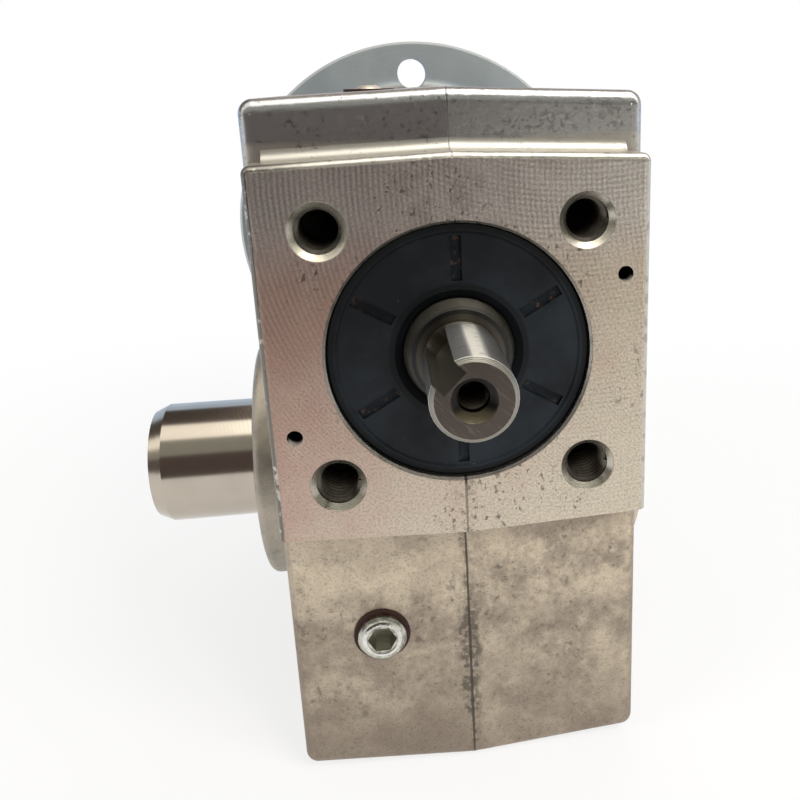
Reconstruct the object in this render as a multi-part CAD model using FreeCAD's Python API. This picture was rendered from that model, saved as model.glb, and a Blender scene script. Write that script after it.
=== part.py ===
import FreeCAD, Part
import math
import os

# Worm gear reducer in millimetres.
# The origin is the middle of the output bore. X runs along the output shaft, Y along the worm
# towards the motor, and Z points up, with the worm above the wheel.

V = FreeCAD.Vector

# Gear pair
centre_distance = 40.0
module = 2.0
wheel_teeth = 30
pressure_angle = math.radians(20.0)
worm_pitch_radius = 10.0
worm_half_length = 18.0
tooth_clearance = 0.4
flank_gap = 0.2
wheel_outer_radius = 33.0
wheel_half_width = 9.0
wheel_sections = 9
flank_points = 4

# Housing casting, parted on the plane X = 0 and drafted to both sides
case_half_width = 35.2
casting_draft = math.tan(math.radians(2.3))
pad_half_width = 34.4
pad_face = -58.7
pad_above = 35.3
pad_below = 34.6
pad_back = -40.0
pad_edge_radius = 1.4
case_front = -51.7
case_back = 46.0
case_top = 85.7
case_bottom = -51.7
case_edge_radius = 2.6
ledge_fillet = 2.6
rear_pad_front = 26.3
rear_face = 58.5
rear_pad_half_width = 43.2
rear_pad_half_height = 43.2
rear_pad_radius = 3.0
boss_radius = 28.3
boss_face = 43.3
boss_foot = 2.0
boss_edge_radius = 1.8
chamber_radius = 34.5
chamber_left = -24.0
tunnel_radius = 19.5

# Front face holes
face_bolt_circle = 65.0
face_bolt_radius = 4.0
face_bolt_depth = 16.0
face_countersink_radius = 5.1
pin_hole_radius = 1.4
pin_hole_depth = 8.0
pin_hole_across = 29.85
pin_hole_up = 13.2

# Side cover on the right
cover_seat = 30.0
cover_face = 36.0
cover_radius = 43.5
cover_inner_face = 24.0
cover_chamfer = 0.7
cover_bolt_circle = 78.0
cover_bolts = 8
cover_screw_radius = 2.5
cover_screw_head_radius = 4.6
cover_screw_depth = 8.0
cover_ring_section = 1.3

# Worm shaft
input_radius = 7.0
input_end = -82.6
input_chamfer = 0.8
input_relief = 0.3
input_relief_width = 3.0
collar_front = -59.8
collar_front_radius = 9.0
collar_radius = 10.0
collar_lead = 3.6
worm_land_radius = 9.0
front_shoulder_radius = 13.0
rear_seat_radius = 15.0
rear_shoulder_radius = 17.5
input_key_width = 5.0
input_key_depth = 3.0
input_key_angle = -45.0
end_thread_radius = 2.5
end_thread_depth = 14.0
end_countersink_radius = 3.7
motor_bore_radius = 9.5
motor_bore_depth = 42.0
motor_shaft_end = 104.1
motor_key_width = 6.0
motor_key_top = 12.3

# Output shaft
stub_radius = 14.0
stub_end = -68.75
stub_lead = 3.0
stub_nose_radius = 12.6
output_seat_radius = 15.0
output_right_end = 43.8
output_bore_radius = 9.0
output_key_width = 6.0
output_key_reach = 11.8
hub_radius = 19.0
rim_seat_radius = 21.0
hub_flange_radius = 26.3
hub_flange_width = 3.5
rim_screw_circle = 48.0
rim_screws = 6
rim_screw_radius = 2.0
rim_screw_depth = 8.0

# Motor bell
gasket_thickness = 0.5
bell_base_thickness = 10.0
bell_base_half = 43.2
bell_base_corner = 9.0
bell_screw_spacing = 70.0
bell_screw_radius = 4.0
bell_screw_depth = 10.0
bell_neck_radius = 38.0
bell_neck_flare = 45.0
bell_bore_radius = 31.0
bell_flange_front = 98.1
bell_flange_back = 108.1
bell_flange_radius = 60.0
bell_flange_hole_circle = 100.0
bell_flange_hole_radius = 4.8
bell_flange_edge = 0.8
bell_spigot_radius = 40.0
bell_spigot_depth = 4.0
bell_fillet = 4.0

# Bearings: bore radius, outside radius, width, number of balls, ball radius
front_bearing = (10.0, 23.5, 14.0, 8, 3.9)
rear_bearing = (15.0, 27.5, 13.0, 11, 3.5)
output_bearing = (15.0, 23.5, 9.0, 14, 2.6)
front_bearing_start = -43.25
rear_bearing_start = 33.0
output_bearing_inner = 26.8
race_gap = 0.1
ring_chamfer = 0.6
cage_margin = 0.8

# Seals and retaining rings
seal_width = 7.0
front_seal_face = -57.2
rear_seal_start = 48.5
output_seal_outer = 42.8
lip_gap = 0.05
seal_slots = 6
seal_slot_width = 2.0
seal_slot_inner = 13.1
seal_slot_outer = 21.1
seal_slot_depth = 1.2
circlip_width = 1.7
circlip_groove = 1.75
circlip_bite = 1.2
circlip_band = 2.6
circlip_gap = 9.0

# Oil plugs
plug_radius = 4.8
plug_length = 11.0
front_plug_stand = 2.2
top_plug_stand = 0.3
plug_socket_across = 5.0
plug_socket_depth = 4.5
plug_chamfer = 0.5
plug_ring_radius = 5.6
plug_ring_depth = 1.2
plug_ring_stand = 0.4
plug_drill_radius = 4.2
front_plug_across = -17.55
front_plug_height = -19.6
top_plug_across = -13.5
dome_radius = 3.0
dome_height = 1.15
dome_socket_across = 3.0
dome_socket_depth = 2.5


class Spindle:
    """A turning axis, with a radial direction to draw profiles in."""

    def __init__(self, origin, along, outward):
        self.origin = origin
        self.along = along
        self.outward = outward

    def at(self, radius, station):
        return self.origin + self.along * station + self.outward * radius

    def rod(self, radius, start, end):
        return Part.makeCylinder(radius, end - start, self.at(0, start), self.along)

    def tube(self, inner, outer, start, end):
        return self.rod(outer, start, end).cut(self.rod(inner, start - 1, end + 1))

    def turned(self, corners):
        """Solid of revolution from (radius, station) corners."""
        return traced(corners, self.at).revolve(self.origin, self.along, 360)

    def ring(self, radius, section, station):
        return Part.makeTorus(radius, section, self.at(0, station), self.along)

    def spaced(self, shape, count):
        """Copies of a shape, evenly spaced round the axis."""
        copies = []
        for index in range(count):
            copy = shape.copy()
            copy.rotate(self.origin, self.along, 360.0 * index / count)
            copies.append(copy)
        return copies


worm_line = Spindle(V(0, 0, centre_distance), V(0, 1, 0), V(0, 0, 1))
wheel_line = Spindle(V(0, 0, 0), V(1, 0, 0), V(0, 0, 1))


def traced(corners, place):
    """Face inside straight sides; a corner written as a pair is an arc's middle and its end."""
    edges = []
    here = corners[0]
    for corner in corners[1:] + corners[:1]:
        if isinstance(corner[0], tuple):
            middle, end = corner
            edges.append(Part.Arc(place(*here), place(*middle), place(*end)).toShape())
        else:
            end = corner
            edges.append(Part.LineSegment(place(*here), place(*end)).toShape())
        here = end
    return Part.Face(Part.Wire(edges))


def arc_middle(centre, start, end):
    """Point halfway along the short arc from start to end about a centre."""
    radius = math.dist(centre, start)
    across = ((start[0] + end[0]) / 2 - centre[0], (start[1] + end[1]) / 2 - centre[1])
    reach = radius / math.hypot(*across)
    return (centre[0] + across[0] * reach, centre[1] + across[1] * reach)


def box(low, high):
    size = high - low
    return Part.makeBox(size.x, size.y, size.z, low)


def hexagon_prism(across_flats, length, start, direction):
    """Hexagonal rod that begins at a point and runs in a direction."""
    corner = across_flats / math.sqrt(3)
    points = [V(corner * math.cos(math.radians(60 * k)), corner * math.sin(math.radians(60 * k)), 0)
              for k in range(7)]
    rod = Part.Face(Part.makePolygon(points)).extrude(V(0, 0, length))
    rod.Placement = FreeCAD.Placement(start, FreeCAD.Rotation(V(0, 0, 1), direction))
    return rod


def both_sides(half):
    return half.fuse(half.mirror(V(0, 0, 0), V(1, 0, 0)))


def drafted_half(corners, half_width, narrowing):
    """Half of a casting block: a (Y, Z) rectangle at the parting plane that narrows outwards."""
    (front, bottom), (back, top) = corners
    less_front, less_back, less_bottom, less_top = narrowing
    parting = [(front, bottom), (back, bottom), (back, top), (front, top)]
    side = [(front + less_front, bottom + less_bottom), (back - less_back, bottom + less_bottom),
            (back - less_back, top - less_top), (front + less_front, top - less_top)]
    wires = []
    for across, outline in ((0.0, parting), (half_width, side)):
        points = [V(across, y, z) for y, z in outline]
        wires.append(Part.makePolygon(points + points[:1]))
    return Part.makeLoft(wires, True, True)


def edges_at(shape, test):
    """Edges whose two ends both pass a test."""
    chosen = []
    for edge in shape.Edges:
        if all(test(vertex.Point) for vertex in edge.Vertexes):
            chosen.append(edge)
    return chosen


def near(a, b):
    return abs(a - b) < 1e-4


def casting_block(front, back, bottom, top, half_width, radius, draft):
    """Block drafted on all four sides, with rounded outer edges and rounded long edges."""
    less = half_width * draft
    half = drafted_half(((front, bottom), (back, top)), half_width, (less, less, less, less))
    outer = edges_at(half, lambda p: near(p.x, half_width))
    long_edges = [edge for edge in half.Edges
                  if near(min(v.Point.x for v in edge.Vertexes), 0)
                  and near(max(v.Point.x for v in edge.Vertexes), half_width)]
    return both_sides(half.makeFillet(radius, outer + long_edges))


def front_pad():
    """Square pad round the input shaft, with a machined face that has no draft."""
    bottom = centre_distance - pad_below
    top = centre_distance + pad_above
    less = pad_half_width * casting_draft
    half = drafted_half(((pad_face, bottom), (pad_back, top)), pad_half_width, (0, 0, less, less))
    upright = edges_at(half, lambda p: near(p.x, pad_half_width) and near(p.y, pad_face))
    upper = edges_at(half, lambda p: p.z > top - less - 0.01 and near(p.y, pad_face))
    side_top = edges_at(half, lambda p: near(p.x, pad_half_width) and p.z > top - less - 0.01)
    return both_sides(half.makeFillet(pad_edge_radius, upright + upper + side_top))


def rear_pad():
    """Square pad for the motor bell, hollowed clear of the side cover and the left boss."""
    pad = casting_block(rear_pad_front, rear_face + 10, centre_distance - rear_pad_half_height,
                        centre_distance + rear_pad_half_height, rear_pad_half_width, rear_pad_radius, 0)
    beyond = rear_pad_half_width + 1
    return pad.cut([wheel_line.rod(cover_radius + 1.0, case_half_width, beyond),
                    wheel_line.rod(boss_radius + boss_foot + 1.5, -beyond, -case_half_width),
                    box(V(-100, rear_face, -100), V(100, rear_face + 20, 200))])


def ledge_strip():
    """Hollow fillet where the case rises behind the pad's top."""
    reach = pad_half_width - case_edge_radius
    ledge = centre_distance + pad_above
    sink = 0.06
    wires = []
    for across in (0.0, reach):
        drop = across * casting_draft
        wall = case_front + drop + sink
        floor = ledge - drop - sink
        hub = (wall - ledge_fillet, floor + ledge_fillet)
        start = (wall - ledge_fillet, floor)
        end = (wall, floor + ledge_fillet)
        corners = [start, (arc_middle(hub, start, end), end), (wall + 1.0, floor + ledge_fillet),
                   (wall + 1.0, floor - 1.0), (wall - ledge_fillet, floor - 1.0)]
        wires.append(traced(corners, lambda y, z: V(across, y, z)).OuterWire)
    return both_sides(Part.makeLoft(wires, True, True))


def side_boss(foot_face):
    """Round boss with a flared foot and a rounded edge, drawn for the right side."""
    flare = boss_radius + boss_foot
    centre = (flare, foot_face + boss_foot)
    start = (flare, foot_face)
    end = (boss_radius, foot_face + boss_foot)
    edge_centre = (boss_radius - boss_edge_radius, boss_face - boss_edge_radius)
    edge_start = (boss_radius, edge_centre[1])
    edge_end = (edge_centre[0], boss_face)
    return wheel_line.turned([(0, foot_face - 1), (flare, foot_face - 1), start,
                              (arc_middle(centre, start, end), end), edge_start,
                              (arc_middle(edge_centre, edge_start, edge_end), edge_end), (0, boss_face)])


def mirrored(shape):
    return shape.mirror(V(0, 0, 0), V(1, 0, 0))


def face_bolt_holes():
    half = face_bolt_circle / math.sqrt(8)
    holes = []
    for across in (-half, half):
        for up in (-half, half):
            line = Spindle(V(across, 0, centre_distance + up), V(0, 1, 0), V(0, 0, 1))
            sink = face_countersink_radius - face_bolt_radius
            holes.append(line.turned([(0, pad_face - 1), (face_countersink_radius + 1, pad_face - 1),
                                      (face_bolt_radius, pad_face + sink),
                                      (face_bolt_radius, pad_face + face_bolt_depth),
                                      (0, pad_face + face_bolt_depth + face_bolt_radius / 2)]))
    return holes


def pin_holes():
    holes = []
    for side in (-1, 1):
        mouth = V(side * pin_hole_across, pad_face, centre_distance + side * pin_hole_up)
        holes.append(Part.makeCylinder(pin_hole_radius, pin_hole_depth, mouth, V(0, 1, 0)))
    return holes


def plug_hole(line, surface, stand, inner):
    """Tapped oil hole with a seat for the sealing ring, from a surface to the inside."""
    ring_floor = surface + plug_ring_depth
    plug_end = surface + plug_length - stand
    return line.turned([(0, surface - 3), (plug_ring_radius, surface - 3),
                        (plug_ring_radius, ring_floor), (plug_radius, ring_floor),
                        (plug_radius, plug_end), (plug_drill_radius, plug_end),
                        (plug_drill_radius, inner), (0, inner)])


front_plug_line = Spindle(V(front_plug_across, 0, front_plug_height), V(0, 1, 0), V(0, 0, 1))
front_plug_surface = case_front + abs(front_plug_across) * casting_draft
top_plug_line = Spindle(V(top_plug_across, 0, 0), V(0, 0, -1), V(1, 0, 0))
top_plug_surface = -(case_top - abs(top_plug_across) * casting_draft)


def housing():
    case = casting_block(case_front, case_back, case_bottom, case_top,
                         case_half_width, case_edge_radius, casting_draft)
    body = case.multiFuse([rear_pad(), front_pad(), ledge_strip(), mirrored(side_boss(case_half_width))])
    seal_bore = front_bearing[1]
    rear_bore = rear_bearing[1]
    groove = front_bearing_start - circlip_groove
    rear_groove = rear_bearing_start + rear_bearing[2]
    output_bore = output_bearing[1]
    land = output_bearing[1] - 2.5
    cuts = [
        worm_line.turned([(0, pad_face - 1), (seal_bore + 1.5, pad_face - 1),
                          (seal_bore, pad_face + 0.5), (seal_bore, groove),
                          (seal_bore + circlip_bite, groove),
                          (seal_bore + circlip_bite, front_bearing_start),
                          (seal_bore, front_bearing_start),
                          (seal_bore, front_bearing_start + front_bearing[2]),
                          (tunnel_radius, front_bearing_start + front_bearing[2]),
                          (tunnel_radius, rear_bearing_start), (rear_bore, rear_bearing_start),
                          (rear_bore, rear_groove), (rear_bore + circlip_bite, rear_groove),
                          (rear_bore + circlip_bite, rear_groove + circlip_groove),
                          (rear_bore, rear_groove + circlip_groove), (rear_bore, rear_face + 1),
                          (0, rear_face + 1)]),
        wheel_line.turned([(0, -boss_face - 1), (output_bore + 1.5, -boss_face - 1),
                           (output_bore, -boss_face + 0.5), (output_bore, -output_bearing_inner),
                           (land, -output_bearing_inner), (land, chamber_left),
                           (chamber_radius, chamber_left), (chamber_radius, cover_seat),
                           (cover_radius + 0.2, cover_seat),
                           (cover_radius + 0.2, case_half_width + 5), (0, case_half_width + 5)]),
        plug_hole(front_plug_line, front_plug_surface, front_plug_stand, -25.0),
        plug_hole(top_plug_line, top_plug_surface, top_plug_stand, -centre_distance)]
    screw_floor = cover_seat - cover_screw_depth - 2
    screw = Part.makeCylinder(cover_screw_radius, cover_screw_depth + 2,
                              V(screw_floor, 0, cover_bolt_circle / 2), V(1, 0, 0))
    cuts += wheel_line.spaced(screw, cover_bolts)
    for across in (-1, 1):
        for up in (-1, 1):
            start = V(across * bell_screw_spacing / 2, rear_face - bell_screw_depth - 2,
                      centre_distance + up * bell_screw_spacing / 2)
            cuts.append(Part.makeCylinder(bell_screw_radius, bell_screw_depth + 2, start, V(0, 1, 0)))
    return body.cut(cuts + face_bolt_holes() + pin_holes())


def side_cover():
    bore = output_bearing[1]
    land = bore - 2.5
    plate = wheel_line.turned([(0, cover_inner_face), (chamber_radius - 0.05, cover_inner_face),
                               (chamber_radius - 0.05, cover_seat), (cover_radius, cover_seat),
                               (cover_radius, cover_face - cover_chamfer),
                               (cover_radius - cover_chamfer, cover_face), (0, cover_face)])
    cover = plate.fuse(side_boss(cover_face))
    groove_floor = chamber_radius - 2 * cover_ring_section + 0.3
    groove_middle = (cover_inner_face + cover_seat) / 2
    cuts = [wheel_line.turned([(0, boss_face + 1), (bore + 1.5, boss_face + 1), (bore, boss_face - 0.5),
                               (bore, output_bearing_inner), (land, output_bearing_inner),
                               (land, cover_inner_face - 1), (0, cover_inner_face - 1)]),
            wheel_line.tube(groove_floor, chamber_radius + 1, groove_middle - 1.6, groove_middle + 1.6)]
    hole = cover_screw_blank(cover_face - cover_seat + 1)
    cuts += wheel_line.spaced(hole, cover_bolts)
    return cover.cut(cuts)


def cover_screw_blank(length):
    """Countersunk screw's outer form, with its head flush with the cover's face."""
    line = Spindle(V(0, 0, cover_bolt_circle / 2), V(1, 0, 0), V(0, 0, 1))
    shoulder = cover_face - (cover_screw_head_radius - cover_screw_radius)
    return line.turned([(0, cover_face), (cover_screw_head_radius, cover_face),
                        (cover_screw_radius, shoulder), (cover_screw_radius, cover_face - length),
                        (0, cover_face - length)])


def cover_ring():
    """Round rubber ring in the cover's groove, flattened a little by the bore."""
    middle = (cover_inner_face + cover_seat) / 2
    radius = chamber_radius - cover_ring_section + 0.3
    ring = wheel_line.ring(radius, cover_ring_section, middle)
    return ring.common(wheel_line.rod(chamber_radius, middle - 5, middle + 5))


def cap_screw(start, direction, radius, length, head_height):
    """Socket head cap screw: start is the underside of the head, direction leads to the tip."""
    head = Part.makeCylinder(radius * 1.62, head_height, start, direction * -1)
    top = edges_at(head, lambda p: (p - start).dot(direction * -1) > head_height - 0.01)
    head = head.makeChamfer(radius * 0.12, top)
    socket_start = start - direction * head_height
    socket = hexagon_prism(radius * 1.6, radius * 1.05, socket_start, direction)
    return head.fuse(Part.makeCylinder(radius, length, start, direction)).cut(socket)


def cover_screws():
    blank = cover_screw_blank(cover_face - cover_seat + cover_screw_depth)
    socket = hexagon_prism(cover_screw_radius * 1.2, cover_screw_radius * 0.8,
                           V(cover_face, 0, cover_bolt_circle / 2), V(-1, 0, 0))
    return Part.makeCompound(wheel_line.spaced(blank.cut(socket), cover_bolts))


def bell_screws():
    head_seat = rear_face + gasket_thickness + bell_base_thickness
    screws = []
    for across in (-1, 1):
        for up in (-1, 1):
            start = V(across * bell_screw_spacing / 2, head_seat,
                      centre_distance + up * bell_screw_spacing / 2)
            screws.append(cap_screw(start, V(0, -1, 0), bell_screw_radius,
                                    bell_base_thickness + gasket_thickness + bell_screw_depth, 8.0))
    return Part.makeCompound(screws)


def bell_plate(start, thickness):
    """Square plate with round corners and four bolt holes, on the worm's axis."""
    plate = box(V(-bell_base_half, start, centre_distance - bell_base_half),
                V(bell_base_half, start + thickness, centre_distance + bell_base_half))
    corners = [edge for edge in plate.Edges if near(edge.BoundBox.YLength, thickness)]
    plate = plate.makeFillet(bell_base_corner, corners)
    holes = []
    for across in (-1, 1):
        for up in (-1, 1):
            mouth = V(across * bell_screw_spacing / 2, start - 1,
                      centre_distance + up * bell_screw_spacing / 2)
            holes.append(Part.makeCylinder(bell_screw_radius + 0.5, thickness + 2, mouth, V(0, 1, 0)))
    return plate.cut(holes)


def rear_gasket():
    bore = worm_line.rod(rear_bearing[1] + 1.0, rear_face - 1, rear_face + 2)
    return bell_plate(rear_face, gasket_thickness).cut(bore)


def motor_bell():
    """Bell between the housing and the motor: square base, flared neck and round motor flange."""
    base = rear_face + gasket_thickness
    base_back = base + bell_base_thickness
    foot_hub = (bell_neck_radius + bell_fillet, base_back + bell_fillet)
    foot_start = (bell_neck_radius + bell_fillet, base_back)
    foot_end = (bell_neck_radius, base_back + bell_fillet)
    head_hub = (bell_neck_flare + bell_fillet, bell_flange_front - bell_fillet)
    head_start = (bell_neck_flare, bell_flange_front - bell_fillet)
    head_end = (bell_neck_flare + bell_fillet, bell_flange_front)
    edge = bell_flange_edge
    neck = worm_line.turned([(0, base), (foot_start[0], base), foot_start,
                             (arc_middle(foot_hub, foot_start, foot_end), foot_end), head_start,
                             (arc_middle(head_hub, head_start, head_end), head_end),
                             (bell_flange_radius - edge, bell_flange_front),
                             (bell_flange_radius, bell_flange_front + edge),
                             (bell_flange_radius, bell_flange_back - edge),
                             (bell_flange_radius - edge, bell_flange_back), (0, bell_flange_back)])
    register = worm_line.rod(rear_bearing[1] - 0.05, base - 3.0, base)
    bell = bell_plate(base, bell_base_thickness).fuse(neck).fuse(register)
    floor = base_back - 3.0
    bore = worm_line.turned([(0, base - 4), (rear_seat_radius + 2, base - 4), (rear_seat_radius + 2, floor),
                             (bell_bore_radius - 3, floor), (bell_bore_radius, floor + 3),
                             (bell_bore_radius, bell_flange_back - bell_spigot_depth),
                             (bell_spigot_radius, bell_flange_back - bell_spigot_depth),
                             (bell_spigot_radius, bell_flange_back + 1), (0, bell_flange_back + 1)])
    hole = Part.makeCylinder(bell_flange_hole_radius, 20,
                             worm_line.at(bell_flange_hole_circle / 2, bell_flange_front - 5), V(0, 1, 0))
    return bell.cut([bore] + worm_line.spaced(hole, 4))


def thread_half_width(radius):
    """Half of the worm thread's thickness along the axis."""
    pitch = math.pi * module
    return pitch / 4 - (radius - worm_pitch_radius) * math.tan(pressure_angle)


def worm_thread():
    """Right-hand straight-sided thread, with its crest under the axis at Y = 0."""
    pitch = math.pi * module
    tip = worm_pitch_radius + module
    buried = worm_pitch_radius - module - tooth_clearance - 0.5
    path = Part.makeHelix(pitch, 2 * worm_half_length, worm_pitch_radius)
    corners = [(buried, -thread_half_width(buried)), (tip, -thread_half_width(tip)),
               (tip, thread_half_width(tip)), (buried, thread_half_width(buried))]
    profile = traced(corners, lambda r, s: V(r, 0, s)).OuterWire
    thread = Part.Wire(path.Edges).makePipeShell([profile], True, True)
    thread.translate(V(0, 0, -worm_half_length))
    thread.rotate(V(0, 0, 0), V(0, 0, 1), 90 - 360 * worm_half_length / pitch)
    thread.rotate(V(0, 0, 0), V(1, 0, 0), -90)
    thread.translate(V(0, 0, centre_distance))
    chamfer = 2 * module
    end = worm_half_length + module
    clear = tip + 0.2
    runout = worm_line.turned([(0, -end), (clear - chamfer, -end), (clear, chamfer - end),
                               (clear, end - chamfer), (clear - chamfer, end), (0, end)])
    return thread.common(runout)


def key_slot(width, floor, length, start, angle, tip_round):
    """Keyway cutter on the worm's axis, running towards +Y, turned from the top by an angle."""
    cutter = box(V(-width / 2, start, floor), V(width / 2, start + length, floor + 20))
    if tip_round:
        cutter = cutter.fuse(Part.makeCylinder(width / 2, 20, V(0, start + length, floor), V(0, 0, 1)))
    cutter.translate(V(0, 0, centre_distance))
    cutter.rotate(worm_line.origin, worm_line.along, angle)
    return cutter


def worm_shaft():
    root = worm_pitch_radius - module - tooth_clearance
    front_stop = front_bearing_start + front_bearing[2]
    relief_start = collar_front - input_relief_width
    shaft = worm_line.turned([
        (0, input_end), (input_radius - input_chamfer, input_end),
        (input_radius, input_end + input_chamfer),
        (input_radius, relief_start), (input_radius - input_relief, relief_start + input_relief),
        (input_radius - input_relief, collar_front), (collar_front_radius, collar_front),
        (collar_radius, collar_front + collar_lead), (collar_radius, front_stop),
        (front_shoulder_radius, front_stop), (front_shoulder_radius, front_stop + 4),
        (worm_land_radius, front_stop + 7), (worm_land_radius, -worm_half_length - 2),
        (root, -worm_half_length), (root, worm_half_length), (worm_land_radius, worm_half_length + 2),
        (worm_land_radius, rear_bearing_start - 8), (rear_shoulder_radius, rear_bearing_start - 3),
        (rear_shoulder_radius, rear_bearing_start), (rear_seat_radius, rear_bearing_start),
        (rear_seat_radius, motor_shaft_end - 1), (rear_seat_radius - 1, motor_shaft_end),
        (0, motor_shaft_end)])
    shaft = shaft.fuse(worm_thread())
    sink = (end_countersink_radius - end_thread_radius) * math.sqrt(3)
    centre_hole = worm_line.turned([
        (0, input_end - 1), (end_countersink_radius, input_end - 1),
        (end_countersink_radius, input_end + 0.4),
        (end_thread_radius, input_end + sink), (end_thread_radius, input_end + end_thread_depth),
        (0, input_end + end_thread_depth + end_thread_radius / 2)])
    bore_floor = motor_shaft_end - motor_bore_depth
    motor_bore = worm_line.turned([
        (0, bore_floor - motor_bore_radius / 2), (motor_bore_radius, bore_floor),
        (motor_bore_radius, motor_shaft_end - 0.8), (motor_bore_radius + 1.8, motor_shaft_end + 1),
        (0, motor_shaft_end + 1)])
    key_start = input_end - 1
    input_key = key_slot(input_key_width, input_radius - input_key_depth, relief_start - key_start,
                         key_start, input_key_angle, True)
    motor_key = box(V(-motor_key_width / 2, bore_floor, centre_distance),
                    V(motor_key_width / 2, motor_shaft_end + 1, centre_distance + motor_key_top))
    return shaft.cut([centre_hole, motor_bore, input_key, motor_key])


def flank_at(across, wheel_radius, side):
    """Angle of a wheel tooth gap's flank, at a distance from mid-plane and a radius.

    In each slice the worm is a rack. The flank is the curve that this rack wraps as it slides.
    """
    wheel_pitch_radius = module * wheel_teeth / 2
    lead = module / 2

    def rack(height):
        depth = worm_pitch_radius - height
        radius = math.hypot(across, depth)
        return side * thread_half_width(radius) - lead * math.atan2(across, depth)

    def touch(height):
        step = 1e-4
        slope = (rack(height + step) - rack(height - step)) / (2 * step)
        along = -height / slope
        turn = (along - rack(height)) / wheel_pitch_radius
        level = wheel_pitch_radius + height
        return math.hypot(along, level), math.atan2(along, level) - turn

    low, high = -4.0, 4.0
    for _ in range(40):
        middle = (low + high) / 2
        if touch(middle)[0] < wheel_radius:
            low = middle
        else:
            high = middle
    return touch(low)[1] + side * flank_gap / wheel_radius


def wheel_slice(across):
    """Outline of all the teeth in one slice of the wheel."""
    root_reach = worm_pitch_radius + module + tooth_clearance
    throat_reach = worm_pitch_radius - module
    root = centre_distance - math.sqrt(root_reach ** 2 - across ** 2)
    tip = wheel_outer_radius
    if abs(across) < throat_reach:
        tip = min(tip, centre_distance - math.sqrt(throat_reach ** 2 - across ** 2))
    radii = [root + (tip - root) * k / (flank_points - 1) for k in range(flank_points)]
    left = [(radius, flank_at(across, radius, -1)) for radius in reversed(radii)]
    right = [(radius, flank_at(across, radius, 1)) for radius in radii]
    pitch_angle = 2 * math.pi / wheel_teeth

    def place(point, gap):
        radius, angle = point
        turned = angle + gap * pitch_angle
        return V(across, radius * math.sin(turned), radius * math.cos(turned))

    edges = []
    for gap in range(wheel_teeth):
        for flank in (left, right):
            curve = Part.BSplineCurve()
            curve.interpolate([place(point, gap) for point in flank])
            edges.append(curve.toShape())
        edges.insert(-1, Part.LineSegment(place(left[-1], gap), place(right[0], gap)).toShape())
        edges.append(Part.LineSegment(place(right[-1], gap), place(left[0], gap + 1)).toShape())
    return Part.Wire(edges)


def wheel_rim():
    """Bronze toothed rim with a hollow face that wraps the worm."""
    step = 2 * wheel_half_width / (wheel_sections - 1)
    slices = [wheel_slice(-wheel_half_width + step * k) for k in range(wheel_sections)]
    rim = Part.makeLoft(slices, True, True)
    bore = wheel_line.rod(rim_seat_radius, -wheel_half_width - 1, wheel_half_width + 1)
    hole = Part.makeCylinder(rim_screw_radius, rim_screw_depth + 1,
                             V(-wheel_half_width - 1, 0, rim_screw_circle / 2), V(1, 0, 0))
    return rim.cut([bore] + wheel_line.spaced(hole, rim_screws))


def rim_screw_set():
    seat = -wheel_half_width - hub_flange_width
    screw = cap_screw(V(seat, 0, rim_screw_circle / 2), V(1, 0, 0), rim_screw_radius,
                      hub_flange_width + rim_screw_depth, 4.0)
    return Part.makeCompound(wheel_line.spaced(screw, rim_screws))


def output_shaft():
    """Hollow shaft with the wheel's hub on it; its left end stands out as a plain stub."""
    flange = -wheel_half_width - hub_flange_width
    seal_end = output_seal_outer + 0.5
    bore = output_bore_radius
    shaft = wheel_line.turned([
        (bore + 0.6, stub_end), (stub_nose_radius, stub_end),
        (stub_radius, stub_end + stub_lead),
        (stub_radius, -seal_end - 1), (output_seat_radius, -seal_end),
        (output_seat_radius, -output_bearing_inner), (hub_radius, -output_bearing_inner),
        (hub_radius, flange), (hub_flange_radius, flange), (hub_flange_radius, -wheel_half_width),
        (rim_seat_radius, -wheel_half_width), (rim_seat_radius, wheel_half_width),
        (hub_radius, wheel_half_width + 2), (hub_radius, output_bearing_inner),
        (output_seat_radius, output_bearing_inner), (output_seat_radius, output_right_end - 1),
        (output_seat_radius - 1, output_right_end), (bore + 0.6, output_right_end),
        (bore, output_right_end - 0.6), (bore, stub_end + 0.6)])
    key = box(V(stub_end - 1, 0, -output_key_width / 2),
              V(output_right_end + 1, output_key_reach, output_key_width / 2))
    hole = Part.makeCylinder(rim_screw_radius, 20, V(flange - 5, 0, rim_screw_circle / 2), V(1, 0, 0))
    return shaft.cut([key] + wheel_line.spaced(hole, rim_screws))


def bearing(spindle, sizes, start):
    """Deep-groove ball bearing: outer ring, inner ring, balls and cage."""
    bore, outside, width, count, ball = sizes
    pitch = (bore + outside) / 2
    land = 0.6 * ball
    end = start + width
    middle = start + width / 2
    cut = ring_chamfer
    outer = spindle.turned([(pitch + land, start), (outside - cut, start), (outside, start + cut),
                            (outside, end - cut), (outside - cut, end), (pitch + land, end)])
    inner = spindle.turned([(bore + cut, start), (pitch - land, start), (pitch - land, end),
                            (bore + cut, end), (bore, end - cut), (bore, start + cut)])
    groove = spindle.ring(pitch, ball + race_gap, middle)
    one_ball = Part.makeSphere(ball, spindle.at(pitch, middle))
    balls = spindle.spaced(one_ball, count)
    pocket = Part.makeSphere(ball + 0.02, spindle.at(pitch, middle))
    reach = ball + cage_margin
    cage = spindle.tube(pitch - land / 2, pitch + land / 2, middle - reach, middle + reach)
    cage = cage.cut(spindle.spaced(pocket, count))
    return {"outer_ring": outer.cut(groove), "inner_ring": inner.cut(groove),
            "balls": Part.makeCompound(balls), "cage": cage}


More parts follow.
